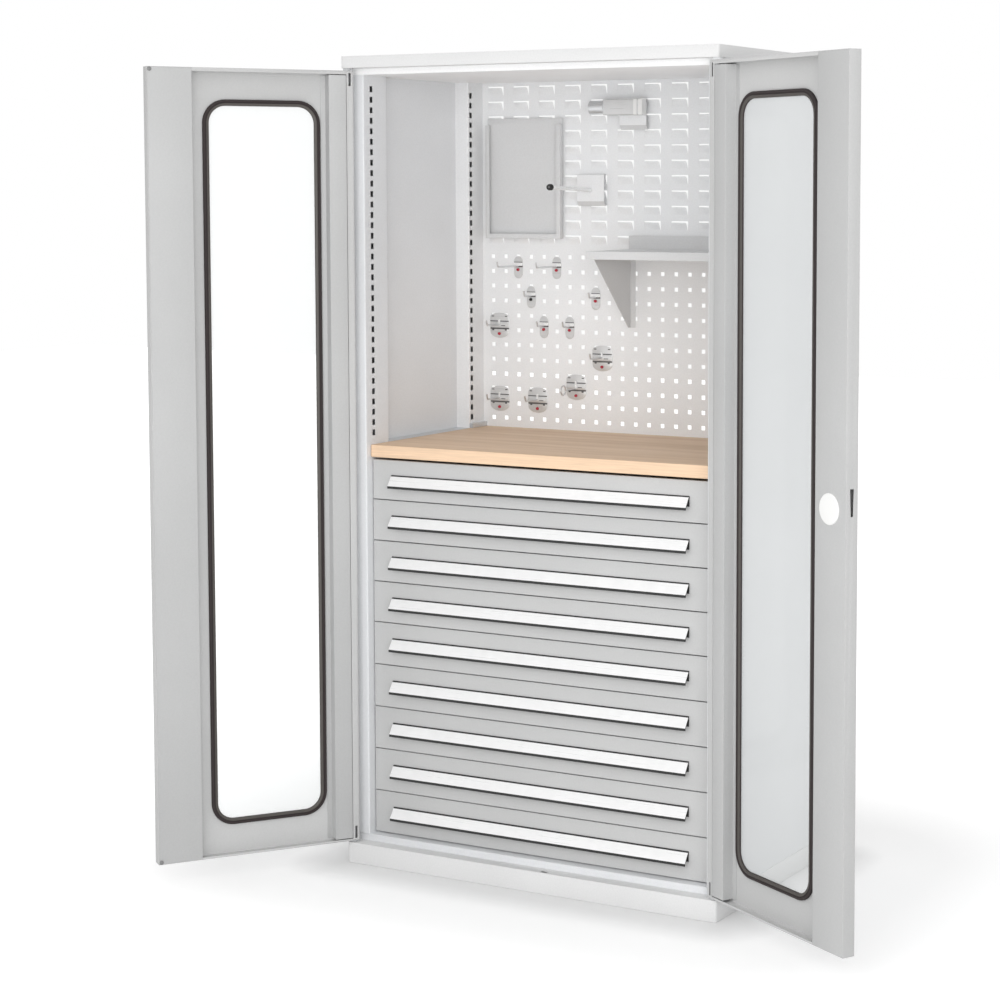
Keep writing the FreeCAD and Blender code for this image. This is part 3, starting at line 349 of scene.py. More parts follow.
def bent_line(corners, radius, steps=5):
    """A line of straight runs in a plane, with each inner corner replaced by a tangent arc:
    the arc starts and ends at radius times the tangent of half the turn from the corner."""
    corners = np.asarray(corners, float)
    runs = [corners[:1]]
    for before, corner, after in zip(corners[:-2], corners[1:-1], corners[2:]):
        come = (corner - before) / np.linalg.norm(corner - before)
        leave = (after - corner) / np.linalg.norm(after - corner)
        turn = math.acos(np.clip(come @ leave, -1, 1))
        bend = (leave - come) / np.linalg.norm(leave - come)
        centre = corner + bend * radius / math.cos(turn / 2)
        share = np.linspace(-0.5, 0.5, steps)[:, None] * turn
        middle = (come + leave) / np.linalg.norm(come + leave)
        runs.append(centre - bend * radius * np.cos(share) + middle * radius * np.sin(share))
    runs.append(corners[-1:])
    return np.concatenate(runs)


def along_x(profile, x0, x1):
    """A profile of (y, z) points carried straight from x0 to x1, as two rings."""
    ends = np.array([x0, x1])
    rings = np.empty((2, len(profile), 3))
    rings[..., 0] = ends[:, None]
    rings[..., 1:] = profile
    return rings


def upright_path(x, line):
    """A line of (y, z) points in the upright plane at x."""
    return np.column_stack([np.full(len(line), x), line])


def tube(path, radius, sides=12):
    """A circle carried along a path in an upright plane at one x: at each point it is spanned by the
    x direction and by the direction square to both x and the path."""
    forward = np.gradient(path, axis=0)
    forward /= np.linalg.norm(forward, axis=1, keepdims=True)
    cross = np.array([1.0, 0, 0])
    up = np.cross(forward, cross)
    angle = np.linspace(0, 2 * math.pi, sides, endpoint=False)[:, None]
    rings = path[:, None] + radius * (np.cos(angle) * cross + np.sin(angle) * up[:, None])
    return stack(rings)


def turned(profile, centre, axis, across, sides):
    """A profile of (radius, height) points turned about an axis: height runs along the axis, and the
    radius swings from across to the direction square to both. A first or last radius of 0 closes it."""
    axis = np.asarray(axis, float)
    across = np.asarray(across, float)
    angle = np.linspace(0, 2 * math.pi, sides, endpoint=False)[:, None]
    swing = np.cos(angle) * across + np.sin(angle) * np.cross(axis, across)
    profile = np.asarray(profile, float)
    rings = np.asarray(centre) + profile[:, 1, None, None] * axis + profile[:, 0, None, None] * swing
    return stack(rings)


def upright_plate(outline, x, z, face, levels):
    """A plate on the tool panel: its outline is drawn at each (depth, share) level in front of a face,
    shrunk by the share towards its middle."""
    rings = np.empty((len(levels), len(outline), 3))
    depth, share = np.array(levels).T
    rings[..., 0] = x + outline[:, 0] * share[:, None]
    rings[..., 1] = face - depth[:, None]
    rings[..., 2] = z + outline[:, 1] * share[:, None]
    return stack(rings)


def mirrored(part):
    """The same part on the other side of the middle plane, with its faces turned back outwards."""
    points, faces = part
    return points * (-1, 1, 1), [face[::-1] for face in faces]


def door_hinge(side):
    """Where a door's hinge stands, the angle that the door is open at rest, and the sign of its side."""
    joint = JOINTS[side + "_door_hinge"]
    sign = 1 if side == "right" else -1
    return abs(joint["pos_m"][0]), joint["pos_m"][1], math.radians(-joint["range_deg"][0]), sign


def door_points(side, u, d, z):
    """Door measures, u from the hinge edge and d from the outer face, swung with the door about its
    hinge: x and y turn by the open angle, and the left door is the right one mirrored."""
    hinge_x, hinge_y, angle, sign = door_hinge(side)
    x = DOOR_EDGE - u - hinge_x
    y = FRONT + d - hinge_y
    swung_x = hinge_x + x * math.cos(angle) - y * math.sin(angle)
    swung_y = hinge_y + x * math.sin(angle) + y * math.cos(angle)
    return np.stack(np.broadcast_arrays(sign * swung_x, swung_y, z), -1)


def door_measures(side, node):
    """Lowest and highest (u, d, z) of a door node: its points swung back to the shut door."""
    mesh = NODES[node].data
    points = np.empty(len(mesh.vertices) * 3, np.float32)
    mesh.vertices.foreach_get("co", points)
    points = points.reshape(-1, 3).astype(float)
    hinge_x, hinge_y, angle, sign = door_hinge(side)
    x = points[:, 0] * sign - hinge_x
    y = points[:, 1] - hinge_y
    shut_x = hinge_x + x * math.cos(angle) + y * math.sin(angle)
    shut_y = hinge_y - x * math.sin(angle) + y * math.cos(angle)
    measures = np.stack([DOOR_EDGE - shut_x, shut_y - FRONT, points[:, 2]], -1)
    return measures.min(0), measures.max(0)


def turned_on_door(profile, side, u, d, z, sides):
    """A profile of (radius, height) points turned about the depth of a door, at door measures."""
    base = door_points(side, u, d, z)
    axis = door_points(side, u, d + 1, z) - base
    return turned(profile, base, axis, (0, 0, 1), sides)


# Pieces


def add_piece(name, parts, materials, body, nodes, closed=True, smooth=32):
    """One piece from (points, faces) or (points, faces, material number) parts. Doubles are merged, closed
    parts get their normals turned outwards, and edges sharper than the smooth angle stay crisp."""
    points = np.concatenate([part[0] for part in parts])
    faces = []
    numbers = []
    start = 0
    for part in parts:
        faces += [[start + corner for corner in face] for face in part[1]]
        numbers += [part[2] if len(part) > 2 else 0] * len(part[1])
        start += len(part[0])
    mesh = bpy.data.meshes.new(name)
    mesh.from_pydata(points.tolist(), [], faces)
    mesh.polygons.foreach_set("material_index", numbers)
    form = bmesh.new()
    form.from_mesh(mesh)
    bmesh.ops.remove_doubles(form, verts=form.verts, dist=SAME_POINT)
    if closed:
        bmesh.ops.recalc_face_normals(form, faces=form.faces)
    form.to_mesh(mesh)
    form.free()
    for material in materials:
        mesh.materials.append(material)
    mesh.shade_smooth()
    mesh.set_sharp_from_angle(angle=math.radians(smooth))
    piece = bpy.data.objects.new(name, mesh)
    bpy.context.scene.collection.objects.link(piece)
    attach(piece, body)
    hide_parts(*nodes)
    return piece


def give_thickness(piece, thickness):
    """Sheet thickness behind the modelled face, with normals that keep the large faces flat."""
    sheet = piece.modifiers.new("Sheet", "SOLIDIFY")
    sheet.thickness = thickness
    sheet.offset = -1
    sheet.use_even_offset = True
    flat = piece.modifiers.new("Flat faces", "WEIGHTED_NORMAL")
    flat.weight = 90
    flat.keep_sharp = True
    return sheet


def round_edges(node, material, width):
    """A copy of a solid's mesh with its triangles merged into flat faces and its sharp edges rounded."""
    source = NODES[node]
    mesh = source.data.copy()
    form = bmesh.new()
    form.from_mesh(mesh)
    bmesh.ops.remove_doubles(form, verts=form.verts, dist=SAME_POINT)
    bmesh.ops.dissolve_limit(form, angle_limit=FLAT_ANGLE, verts=form.verts, edges=form.edges)
    form.to_mesh(mesh)
    form.free()
    mesh.materials.clear()
    mesh.materials.append(material)
    mesh.shade_smooth()
    piece = bpy.data.objects.new(node + "_form", mesh)
    bpy.context.scene.collection.objects.link(piece)
    bevel = piece.modifiers.new("Edges", "BEVEL")
    bevel.width = width
    bevel.segments = 2
    bevel.limit_method = "ANGLE"
    bevel.angle_limit = SHARP_ANGLE
    bevel.harden_normals = True
    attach(piece, source["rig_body"])
    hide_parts(node)


def finish_node(node, material):
    """A solid that keeps its own mesh gets a better finish."""
    NODES[node].material_slots[0].material = material


# Shader nodes and groups


def shader_node(tree, kind, inputs, **settings):
    """A node with its settings made, and each input linked to a given socket or set to a given value."""
    node = tree.nodes.new("ShaderNode" + kind)
    for name, value in settings.items():
        setattr(node, name, value)
    for label, value in inputs.items():
        if isinstance(value, bpy.types.NodeSocket):
            tree.links.new(value, node.inputs[label])
        else:
            node.inputs[label].default_value = value
    return node


def object_place(tree):
    return tree.nodes.new("ShaderNodeTexCoord").outputs["Object"]


def noise(tree, vector, scale, detail, roughness=0.5):
    """Soft noise over a vector. Most of it lies between 0.3 and 0.7."""
    inputs = {"Vector": vector, "Scale": scale, "Detail": detail, "Roughness": roughness}
    return shader_node(tree, "TexNoise", inputs).outputs["Fac"]


def ramp(tree, value, start, end, low=0.3, high=0.7):
    """A value that runs from start to end while the given one runs from low to high."""
    inputs = {"Value": value, "From Min": low, "From Max": high, "To Min": start, "To Max": end}
    return shader_node(tree, "MapRange", inputs).outputs["Result"]


def stretched(tree, vector, scale):
    return shader_node(tree, "Mapping", {"Vector": vector, "Scale": scale}).outputs["Vector"]


def maths(tree, operation, first, second):
    return shader_node(tree, "Math", {0: first, 1: second}, operation=operation).outputs["Value"]


def vector_maths(tree, operation, inputs):
    return shader_node(tree, "VectorMath", inputs, operation=operation).outputs


def tinted(tree, colour, share):
    """A colour times a value."""
    return vector_maths(tree, "SCALE", {0: colour, "Scale": share})["Vector"]


def new_group(name, colours):
    """A shader group that takes a vector and named colours, and the sockets that they come from."""
    group = bpy.data.node_groups.new(name, "ShaderNodeTree")
    group.interface.new_socket("Vector", in_out="INPUT", socket_type="NodeSocketVector")
    for label in colours:
        group.interface.new_socket(label, in_out="INPUT", socket_type="NodeSocketColor")
    group.interface.new_socket("Colour", in_out="OUTPUT", socket_type="NodeSocketColor")
    group.interface.new_socket("Height", in_out="OUTPUT", socket_type="NodeSocketFloat")
    group.interface.new_socket("Roughness", in_out="OUTPUT", socket_type="NodeSocketFloat")
    return group, group.nodes.new("NodeGroupInput").outputs


def close_group(group, colour, height, roughness):
    """The group with its three outputs linked."""
    end = group.nodes.new("NodeGroupOutput").inputs
    group.links.new(colour, end["Colour"])
    group.links.new(height, end["Height"])
    group.links.new(roughness, end["Roughness"])
    return group


def coat_group():
    """Powder coat: a fine pebbled height, and a colour that drifts slightly over the sheet."""
    name = "Powder coat"
    if name in bpy.data.node_groups:
        return bpy.data.node_groups[name]
    group, given = new_group(name, ["Colour"])
    pebbles = noise(group, given["Vector"], 620, 2, 0.55)
    drift = noise(group, given["Vector"], 3.2, 3)
    speckle = noise(group, given["Vector"], 260, 2)
    shade = maths(group, "MULTIPLY", ramp(group, drift, 0.965, 1.02), ramp(group, speckle, 0.975, 1.02))
    colour = tinted(group, given["Colour"], shade)
    return close_group(group, colour, pebbles, ramp(group, speckle, 0.42, 0.54))


def brushed_group():
    """Drawn metal: fine streaks along x as a height and a roughness, and a slightly varied colour."""
    name = "Drawn metal"
    if name in bpy.data.node_groups:
        return bpy.data.node_groups[name]
    group, given = new_group(name, ["Colour"])
    streaks = noise(group, stretched(group, given["Vector"], (6, 700, 700)), 1, 3)
    clouds = noise(group, given["Vector"], 45, 3)
    colour = tinted(group, given["Colour"], ramp(group, clouds, 0.975, 1.02))
    return close_group(group, colour, streaks, ramp(group, streaks, 0.26, 0.42))


def moulded_group():
    """Moulded plastic or rubber: a soft fine height, and a colour and a roughness that vary a little."""
    name = "Moulded skin"
    if name in bpy.data.node_groups:
        return bpy.data.node_groups[name]
    group, given = new_group(name, ["Colour"])
    skin = noise(group, given["Vector"], 900, 2)
    bloom = noise(group, given["Vector"], 60, 3)
    colour = tinted(group, given["Colour"], ramp(group, bloom, 0.9, 1.1))
    return close_group(group, colour, skin, ramp(group, bloom, 0.34, 0.5))


def grain_group():
    """Board grain along x: long streaks mix two colours, fine pores darken them and give the height."""
    name = "Board grain"
    if name in bpy.data.node_groups:
        return bpy.data.node_groups[name]
    group, given = new_group(name, ["Light", "Dark"])
    bands = noise(group, stretched(group, given["Vector"], (1.4, 26, 60)), 1, 4, 0.6)
    pores = noise(group, stretched(group, given["Vector"], (14, 420, 420)), 1, 2)
    first_colour, second_colour, mixed_colour = 6, 7, 2
    share = ramp(group, bands, 0, 1, 0.32, 0.68)
    inputs = {"Factor": share, first_colour: given["Light"], second_colour: given["Dark"]}
    mix = shader_node(group, "Mix", inputs, data_type="RGBA")
    colour = tinted(group, mix.outputs[mixed_colour], ramp(group, pores, 0.93, 1.02, 0.35, 0.62))
    return close_group(group, colour, pores, ramp(group, bands, 0.42, 0.58))


# Materials


def new_material(name, values):
    """A material with plain values on its shader's sockets, its node tree and that shader."""
    material = bpy.data.materials.new(name)
    material.use_nodes = True
    shader = material.node_tree.nodes["Principled BSDF"]
    for label, value in values.items():
        shader.inputs[label].default_value = value
    return material, material.node_tree, shader


def grouped_material(name, group, colours, bump, depth, metallic=0.0, specular=0.5):
    """A material whose colour, roughness and bump come from a group on Object coordinates."""
    if name in bpy.data.materials:
        return bpy.data.materials[name]
    material, tree, shader = new_material(name, {"Metallic": metallic, "Specular IOR Level": specular})
    inputs = {label: (*colour, 1) for label, colour in colours.items()}
    inputs["Vector"] = object_place(tree)
    skin = shader_node(tree, "Group", inputs, node_tree=group).outputs
    relief = shader_node(tree, "Bump", {"Strength": bump, "Distance": depth, "Height": skin["Height"]})
    tree.links.new(skin["Colour"], shader.inputs["Base Color"])
    tree.links.new(skin["Roughness"], shader.inputs["Roughness"])
    tree.links.new(relief.outputs["Normal"], shader.inputs["Normal"])
    return material


def finishes():
    return bpy.context.scene.cabinet_finishes


def coat(name, colour):
    return grouped_material(name, coat_group(), {"Colour": colour}, 0.22, 0.4 * MM, specular=0.35)


def metal(name, colour, bump, metallic):
    return grouped_material(name, brushed_group(), {"Colour": colour}, bump, 0.2 * MM, metallic)


def moulding(name, colour, bump=0.2, depth=0.2 * MM):
    return grouped_material(name, moulded_group(), {"Colour": colour}, bump, depth)


def board(name, light, dark):
    colours = {"Light": light, "Dark": dark}
    return grouped_material(name, grain_group(), colours, 0.12, 0.3 * MM, specular=0.4)


def body_coat():
    return coat("body_coat", finishes().body_coat)


# A darker copy of the body coat, painted shade on the door stiles
def stile_coat():
    return coat("stile_coat", finishes().stile_coat)


def carcass_coat():
    return coat("carcass_coat", finishes().carcass_coat)


def frame_coat():
    return coat("frame_coat", finishes().frame_coat)


def panel_coat():
    return coat("panel_coat", finishes().panel_coat)


# A paler coat standing in for light that the ceiling, facing down, does not get
def ceiling_coat():
    return coat("ceiling_coat", finishes().ceiling_coat)


def shelf_coat():
    return coat("shelf_coat", finishes().shelf_coat)


def zinc_plate():
    return metal("zinc_plate", finishes().zinc, 0.15, 0.85)


# Bright zinc of the peg; on the hooks' clips and ribs it is partly a painted highlight
def bright_zinc():
    return metal("bright_zinc", (0.9, 0.9, 0.9), 0.1, 0.3)


def hook_zinc():
    return metal("hook_zinc", (0.66, 0.66, 0.66), 0.1, 0.3)


def satin_aluminium():
    return metal("satin_aluminium", finishes().handle_metal, 0.08, 0.25)


def gasket_rubber():
    return moulding("gasket_rubber", finishes().rubber, depth=0.3 * MM)


def lip_rubber():
    return moulding("lip_rubber", (0.06, 0.052, 0.046), depth=0.3 * MM)


def buffer_rubber():
    return moulding("buffer_rubber", (0.22, 0.22, 0.22), depth=0.3 * MM)


# Black plastic; on the grip strips it is also painted shade
def black_plastic():
    return moulding("black_plastic", (0.02, 0.02, 0.02))


# A dark grey, painted as the shade inside the posts that shows through their slots
def grey_plastic():
    return moulding("grey_plastic", (0.05, 0.05, 0.052))


# A dark grey: painted shade on the hooks, and the grey middle of the rod cap
def joint_shade():
    return moulding("joint_shade", (0.11, 0.11, 0.11))


def white_plastic():
    return moulding("white_plastic", (0.80, 0.79, 0.78), bump=0.1)


def red_plastic():
    return moulding("red_plastic", finishes().pin_red, bump=0.1)


def board_face():
    return board("board_face", finishes().wood_light, finishes().wood_dark)


# A lighter copy of the board's grain: painted light on the board's edge
def board_edge():
    lighter = [min(1, value * 1.12) for value in finishes().wood_light]
    return board("board_edge", lighter, finishes().wood_light)


def pane_glass():
    """Clear pane: almost see-through, with a sharp shine."""
    name = "pane_glass"
    if name in bpy.data.materials:
        return bpy.data.materials[name]
    material, tree, shader = new_material(name, {"Base Color": (0.93, 0.96, 0.95, 1), "Roughness": 0.04})
    film = noise(tree, object_place(tree), 2.5, 3)
    tree.links.new(ramp(tree, film, 0.05, 0.08), shader.inputs["Alpha"])
    return material


# Operators


class CABINET_OT_carcass(bpy.types.Operator):
    """Coat the fixed sheet pieces and form the slotted corner posts"""

    bl_idname = "cabinet.carcass"
    bl_label = "Carcass"

    front_lead = 32 * MM
    rear_lead = 12 * MM
    post_sheet = 2 * MM

    def execute(self, context):
        sizes = context.scene.cabinet_sizes
        for node in ("plinth", "roof_cap"):
            round_edges(node, frame_coat(), sizes.edge_round)
        for node in ("bottom_pan", "side_panels"):
            round_edges(node, carcass_coat(), sizes.edge_round)
        # The ceiling takes a paler coat as painted light
        round_edges("ceiling_pan", ceiling_coat(), sizes.edge_round)
        finish_node("lower_back_panel", body_coat())
        finish_node("fixed_runners", zinc_plate())
        finish_node("hinge_pins", zinc_plate())
        self.posts("front_posts", self.front_lead, carcass_coat(), sizes)
        self.posts("rear_posts", self.rear_lead, panel_coat(), sizes)
        return {"FINISHED"}

    def posts(self, node, lead, coat, sizes):
        """The post's folded section, drawn in plan, is carried up through the slots' edges. Cells where a
        slot's width meets a slot's height are punched out. lead is from the front fold to the slots."""
        low = low_corner(node)
        high = high_corner(node)
        section = bent_line(
            [(POST_WALL, low[1]), (POST_FACE, low[1]), (POST_FACE, high[1]), (POST_WALL, high[1])],
            sizes.fold_radius,
        )
        half = len(section) // 2
        slot_y = low[1] + lead + sizes.slot_width * np.array([-0.5, 0.5])
        edges = np.stack([np.full(2, POST_FACE), slot_y], -1)
        section = np.concatenate([section[:half], edges, section[half:]])
        middles = CEILING - sizes.slot_drop - sizes.slot_pitch * np.arange(sizes.slot_count)[::-1]
        slots = (middles[:, None] + sizes.slot_height * np.array([-0.5, 0.5])).ravel()
        heights = np.concatenate([low[2:], slots, high[2:]])
        points = np.empty((len(heights), len(section), 3))
        points[..., :2] = section
        points[..., 2] = heights[:, None]
        keep = np.ones((len(heights) - 1, len(section) - 1), bool)
        keep[1:-1:2, half] = False
        right = surface(points[::-1], keep=keep[::-1])
        post = add_piece(
            node + "_slotted", [right, mirrored(right)], [coat, grey_plastic()],
            "cabinet", [node], closed=False,
        )
        # The sheet's back faces take the dark grey: painted shade inside the post, seen through the slots
        give_thickness(post, self.post_sheet).material_offset = 1


class CABINET_OT_tool_panels(bpy.types.Operator):
    """Coat the perforated panel and form the louvred one"""

    bl_idname = "cabinet.tool_panels"
    bl_label = "Tool panels"

    pitch_x = 76 * MM
    pitch_z = 38 * MM
    top_drop = 12 * MM
    panel_sheet = 1.2 * MM
    flap_lines = 7
    flap_gap = 1.5 * MM

    def execute(self, context):
        finish_node("perforated_panel", panel_coat())
        self.louvred(context.scene.cabinet_sizes)
        return {"FINISHED"}

    def louvred(self, sizes):
        """A sheet whose outer rows and columns fold to the rear, with a cell punched out at each louvre,
        and a flap that leans out of each cell from its foot."""
        low = low_corner("louvred_panel")
        high = high_corner("louvred_panel")
        columns = (np.arange(sizes.louvre_columns) - (sizes.louvre_columns - 1) / 2) * self.pitch_x
        tops = high[2] - self.top_drop - self.pitch_z * np.arange(sizes.louvre_rows)[::-1]
        feet = tops - sizes.louvre_height
        across = np.linspace(-0.5, 0.5, self.flap_lines) * sizes.louvre_width
        cells = np.stack([feet, tops + sizes.louvre_slit], -1)
        x = np.concatenate([[low[0]] * 2, (columns[:, None] + across).ravel(), [high[0]] * 2])
        z = np.concatenate([[low[2]] * 2, cells.ravel(), [high[2]] * 2])
        points = np.empty((len(z), len(x), 3))
        points[..., 0] = x
        points[..., 1] = PANEL_Y
        points[..., 2] = z[:, None]
        points[[0, -1], :, 1] = high[1]
        points[:, [0, -1], 1] = high[1]
        keep = np.ones((len(z) - 1, len(x) - 1), bool)
        keep[[0, 0, -1, -1], [0, -1, 0, -1]] = False
        starts = 2 + self.flap_lines * np.arange(sizes.louvre_columns)
        punched = (starts[:, None] + np.arange(self.flap_lines - 1)).ravel()
        keep[np.ix_(np.arange(2, len(z) - 2, 2), punched)] = False
        parts = [surface(points, keep=keep)]
        parts += [self.flap(column, foot, sizes) for column in columns for foot in feet]
        panel = add_piece(
            "louvred_panel_formed", parts, [panel_coat()],
            "cabinet", ["louvred_panel"], closed=False,
        )
        give_thickness(panel, self.panel_sheet)

    def flap(self, column, foot, sizes):
        """Height rises evenly from the foot. The sheet leaves the panel smoothly, leans out and levels off
        at the top, and the lean fades to nothing at the left end. The right side stands clear of the panel
        and draws in along a quarter circle at the top."""
        rise = np.array([0, 0.1, 0.2, 0.35, 0.5, 0.65, 0.8, 0.9, 0.96, 1])[:, None]
        share = np.linspace(0, 1, self.flap_lines)[None, :]
        corner = 0.2
        fade = 0.5
        climb = np.clip((rise - (1 - corner)) / corner, 0, 1)
        draw_in = corner * sizes.louvre_height * (1 - np.sqrt(1 - climb ** 2))
        draw_in = draw_in + self.flap_gap * np.minimum(rise / rise[1], 1)
        opened = np.clip(share / fade, 0, 1)
        lean = rise ** 2 * (3 - 2 * rise) * opened ** 2 * (3 - 2 * opened)
        points = np.empty((len(rise), share.size, 3))
        points[..., 0] = column - sizes.louvre_width / 2 + share * (sizes.louvre_width - draw_in)
        points[..., 1] = PANEL_Y - (PANEL_Y - LOUVRE_Y) * lean
        points[..., 2] = foot + rise * sizes.louvre_height
        return surface(points)


class CABINET_OT_worktop(bpy.types.Operator):
    """Form the rounded wooden board and plate its fittings"""

    bl_idname = "cabinet.worktop"
    bl_label = "Worktop"

    corner_radius = 5 * MM

    def execute(self, context):
        self.wooden_board(context.scene.cabinet_sizes.worktop_round)
        finish_node("worktop_fittings", zinc_plate())
        return {"FINISHED"}

    def wooden_board(self, edge):
        """Rounded rectangles one over another, drawn in along a quarter circle at the foot and at the top.
        The rim between the two roundings, the board's edge, takes a lighter copy of the grain: painted
        light, since the edge is lit more than the shaded top."""
        low = low_corner("worktop")
        high = high_corner("worktop")
        middle = (low + high) / 2
        size = high - low
        bend = np.radians(np.linspace(0, 90, 5))
        step_in = edge * (1 - np.cos(bend))
        step_up = edge * (1 - np.sin(bend))
        rings = []
        levels = np.concatenate([low[2] + step_up[::-1], high[2] - step_up])
        for inset, level in zip(np.concatenate([step_in[::-1], step_in]), levels):
            outline = rounded_rectangle(size[0] - 2 * inset, size[1] - 2 * inset, self.corner_radius - inset)
            rings.append(np.column_stack([outline + middle[:2], np.full(len(outline), level)]))
        points, faces = stack(np.array(rings))
        heights = np.array([points[face, 2].mean() for face in faces])
        # The rim faces take the lighter copy of the grain as painted light
        rims = np.flatnonzero((heights > low[2] + edge / 4) & (heights < high[2] - edge / 4))
        add_piece(
            "worktop_board", two_finishes(points, faces, rims), [board_face(), board_edge()],
            "cabinet", ["worktop"],
        )


class CABINET_OT_drawers(bpy.types.Operator):
    """Coat the drawers, plate their rails and form their grip strips"""

    bl_idname = "cabinet.drawers"
    bl_label = "Drawers"

    strip_wall = 2.5 * MM
    strip_rise = 3.5 * MM
    lip_drop = 21 * MM
    lip_height = 6 * MM
    foot_height = 24 * MM
    nose_radius = 2 * MM
    inner_radius = 1 * MM
    # Share of the blade's top, next to the drawer, painted dark as a shadow line
    painted_shadow_line = 0.11

    def execute(self, context):
        width = context.scene.cabinet_sizes.edge_round
        for index in DRAWERS:
            name = "drawer_%d" % index
            round_edges(name, body_coat(), width)
            finish_node(name + "_rails", zinc_plate())
            self.grip_strip(name)
        return {"FINISHED"}

    def grip_strip(self, name):
        """A profile of (y, z) points carried along x: a foot on the drawer, a slanting blade with a rounded
        nose and a turned-down lip. A line along the top, where the blade meets the drawer, is dark as
        painted shade; the lip and the underside are dark, partly as painted shade, and the ends are black
        end caps."""
        node = name + "_handle"
        low = low_corner(node)
        high = high_corner(node)
        face = high[1]
        nose = low[1]
        wall = self.strip_wall
        top = high[2] + self.strip_rise
        lip_top = high[2] - self.lip_drop
        lip_end = lip_top - self.lip_height
        foot_end = top - self.foot_height
        start = np.array([face - wall, top])
        line_end = start + (np.array([nose, lip_top]) - start) * self.painted_shadow_line
        blade = bent_line([line_end, (nose, lip_top), (nose, lip_end)], self.nose_radius)
        under = bent_line(
            [
                (nose, lip_end), (nose + wall, lip_end), (nose + wall, lip_top),
                (face - wall, top - 2 * wall), (face - wall, foot_end), (face, foot_end),
            ],
            self.inner_radius, 3,
        )
        profile = np.concatenate([[(face, top)], [start], blade, under[1:]])
        points, faces = stack(along_x(profile, low[0], high[0]))
        blade_faces = (2, 3, 4)
        # All but the blade's top faces take the dark finish: painted shade on the top line, the lip and the
        # underside, and black end caps
        dark = [number for number in range(len(faces)) if number not in blade_faces]
        add_piece(
            name + "_grip", two_finishes(points, faces, dark), [satin_aluminium(), black_plastic()],
            name, [node], smooth=24,
        )


class CABINET_OT_doors(bpy.types.Operator):
    """Coat the doors, glaze them and form the window gaskets"""

    bl_idname = "cabinet.doors"
    bl_label = "Doors"

    gasket_width = 15 * MM
    window_radius = 55 * MM
    buffer_inset = 6 * MM
    buffer_radius = 5 * MM
    buffer_rise = 2.5 * MM

    def execute(self, context):
        width = context.scene.cabinet_sizes.edge_round
        for side in SIDES:
            round_edges(side + "_door_skin", body_coat(), width)
            # The stiles take the darker coat as painted shade
            round_edges(side + "_door_stiles", stile_coat(), width)
            finish_node(side + "_pane", pane_glass())
            self.gasket(side)
        return {"FINISHED"}

    def gasket(self, side):
        """A section of (inset, depth) points carried round the window: the window's rounded outline is
        drawn once for each section point, drawn in by its inset. The inner bead is brown, the rest black."""
        low, high = door_measures("right", "right_gasket")
        middle = (low + high) / 2
        size = high - low
        section = np.array([
            (0, 0), (0, 0.6), (0.06, 0.86), (0.18, 1), (0.34, 1), (0.42, 0.72), (0.5, 0.72),
            (0.58, 0.94), (0.84, 0.94), (0.95, 0.82), (1, 0.6), (1, 0),
        ])
        inner_start, inner_end = 7, 10
        rings = []
        for inset, level in section * (self.gasket_width, size[1]):
            outline = rounded_rectangle(
                size[0] - 2 * inset, size[2] - 2 * inset, self.window_radius - inset, 12
            )
            u, z = (middle[[0, 2]] + outline).T
            rings.append(door_points(side, u, low[1] + level, z))
        points, faces = surface(np.array(rings), wrap_rows=True, wrap_columns=True)
        inner = range(inner_start * len(outline), inner_end * len(outline))
        parts = two_finishes(points, faces, inner)
        if side == "left":
            parts += self.buffers(side, 2)
        add_piece(
            side + "_window_gasket", parts, [gasket_rubber(), lip_rubber(), buffer_rubber()],
            side + "_door", [side + "_gasket"],
        )

    def buffers(self, side, finish):
        """Two discs with rounded rims on the lock stile's outer corners, turned about the door's depth."""
        low, high = door_measures(side, side + "_door_skin")
        profile = np.array([(1, 0), (1, 0.6), (0.94, 0.86), (0.8, 1), (0, 1)])
        u = high[0] - self.buffer_inset
        parts = []
        for z in (low[2] + self.buffer_inset, high[2] - self.buffer_inset):
            disc = turned_on_door(profile * (self.buffer_radius, self.buffer_rise), side, u, high[1], z, 20)
            parts.append((*disc, finish))
        return parts


class CABINET_OT_lock(bpy.types.Operator):
    """Finish the rotary lock: knob, rods and the domed inner cover"""

    bl_idname = "cabinet.lock"
    bl_label = "Lock"

    knob_round = 1 * MM

    def execute(self, context):
        round_edges("lock_knob", black_plastic(), self.knob_round)
        finish_node("upper_lock_rod", zinc_plate())
        finish_node("lower_lock_rod", zinc_plate())
        self.cover()
        return {"FINISHED"}

    def cover(self):
        """A disc turned about the door's depth. Its rim is a quarter ellipse, from the full radius down to
        the rim's share of it, and its face rises gently from there to the middle."""
        low, high = door_measures("right", "lock_cover")
        middle = (low + high) / 2
        size = ((high[0] - low[0]) / 2, high[1] - low[1])
        rim = 0.86
        rim_foot = 0.3
        rim_rise = 0.55
        slope = np.radians(np.linspace(0, 90, 7))
        dome = np.stack([rim + (1 - rim) * np.cos(slope), rim_foot + rim_rise * np.sin(slope)], -1)
        profile = np.concatenate([[(1, 0)], dome, [(0.5, 0.96), (0, 1)]]) * size
        cover = turned_on_door(profile, "right", middle[0], low[1], middle[2], 48)
        add_piece(
            "lock_cover_dome", [cover], [white_plastic()], "right_door", ["lock_cover"],
        )


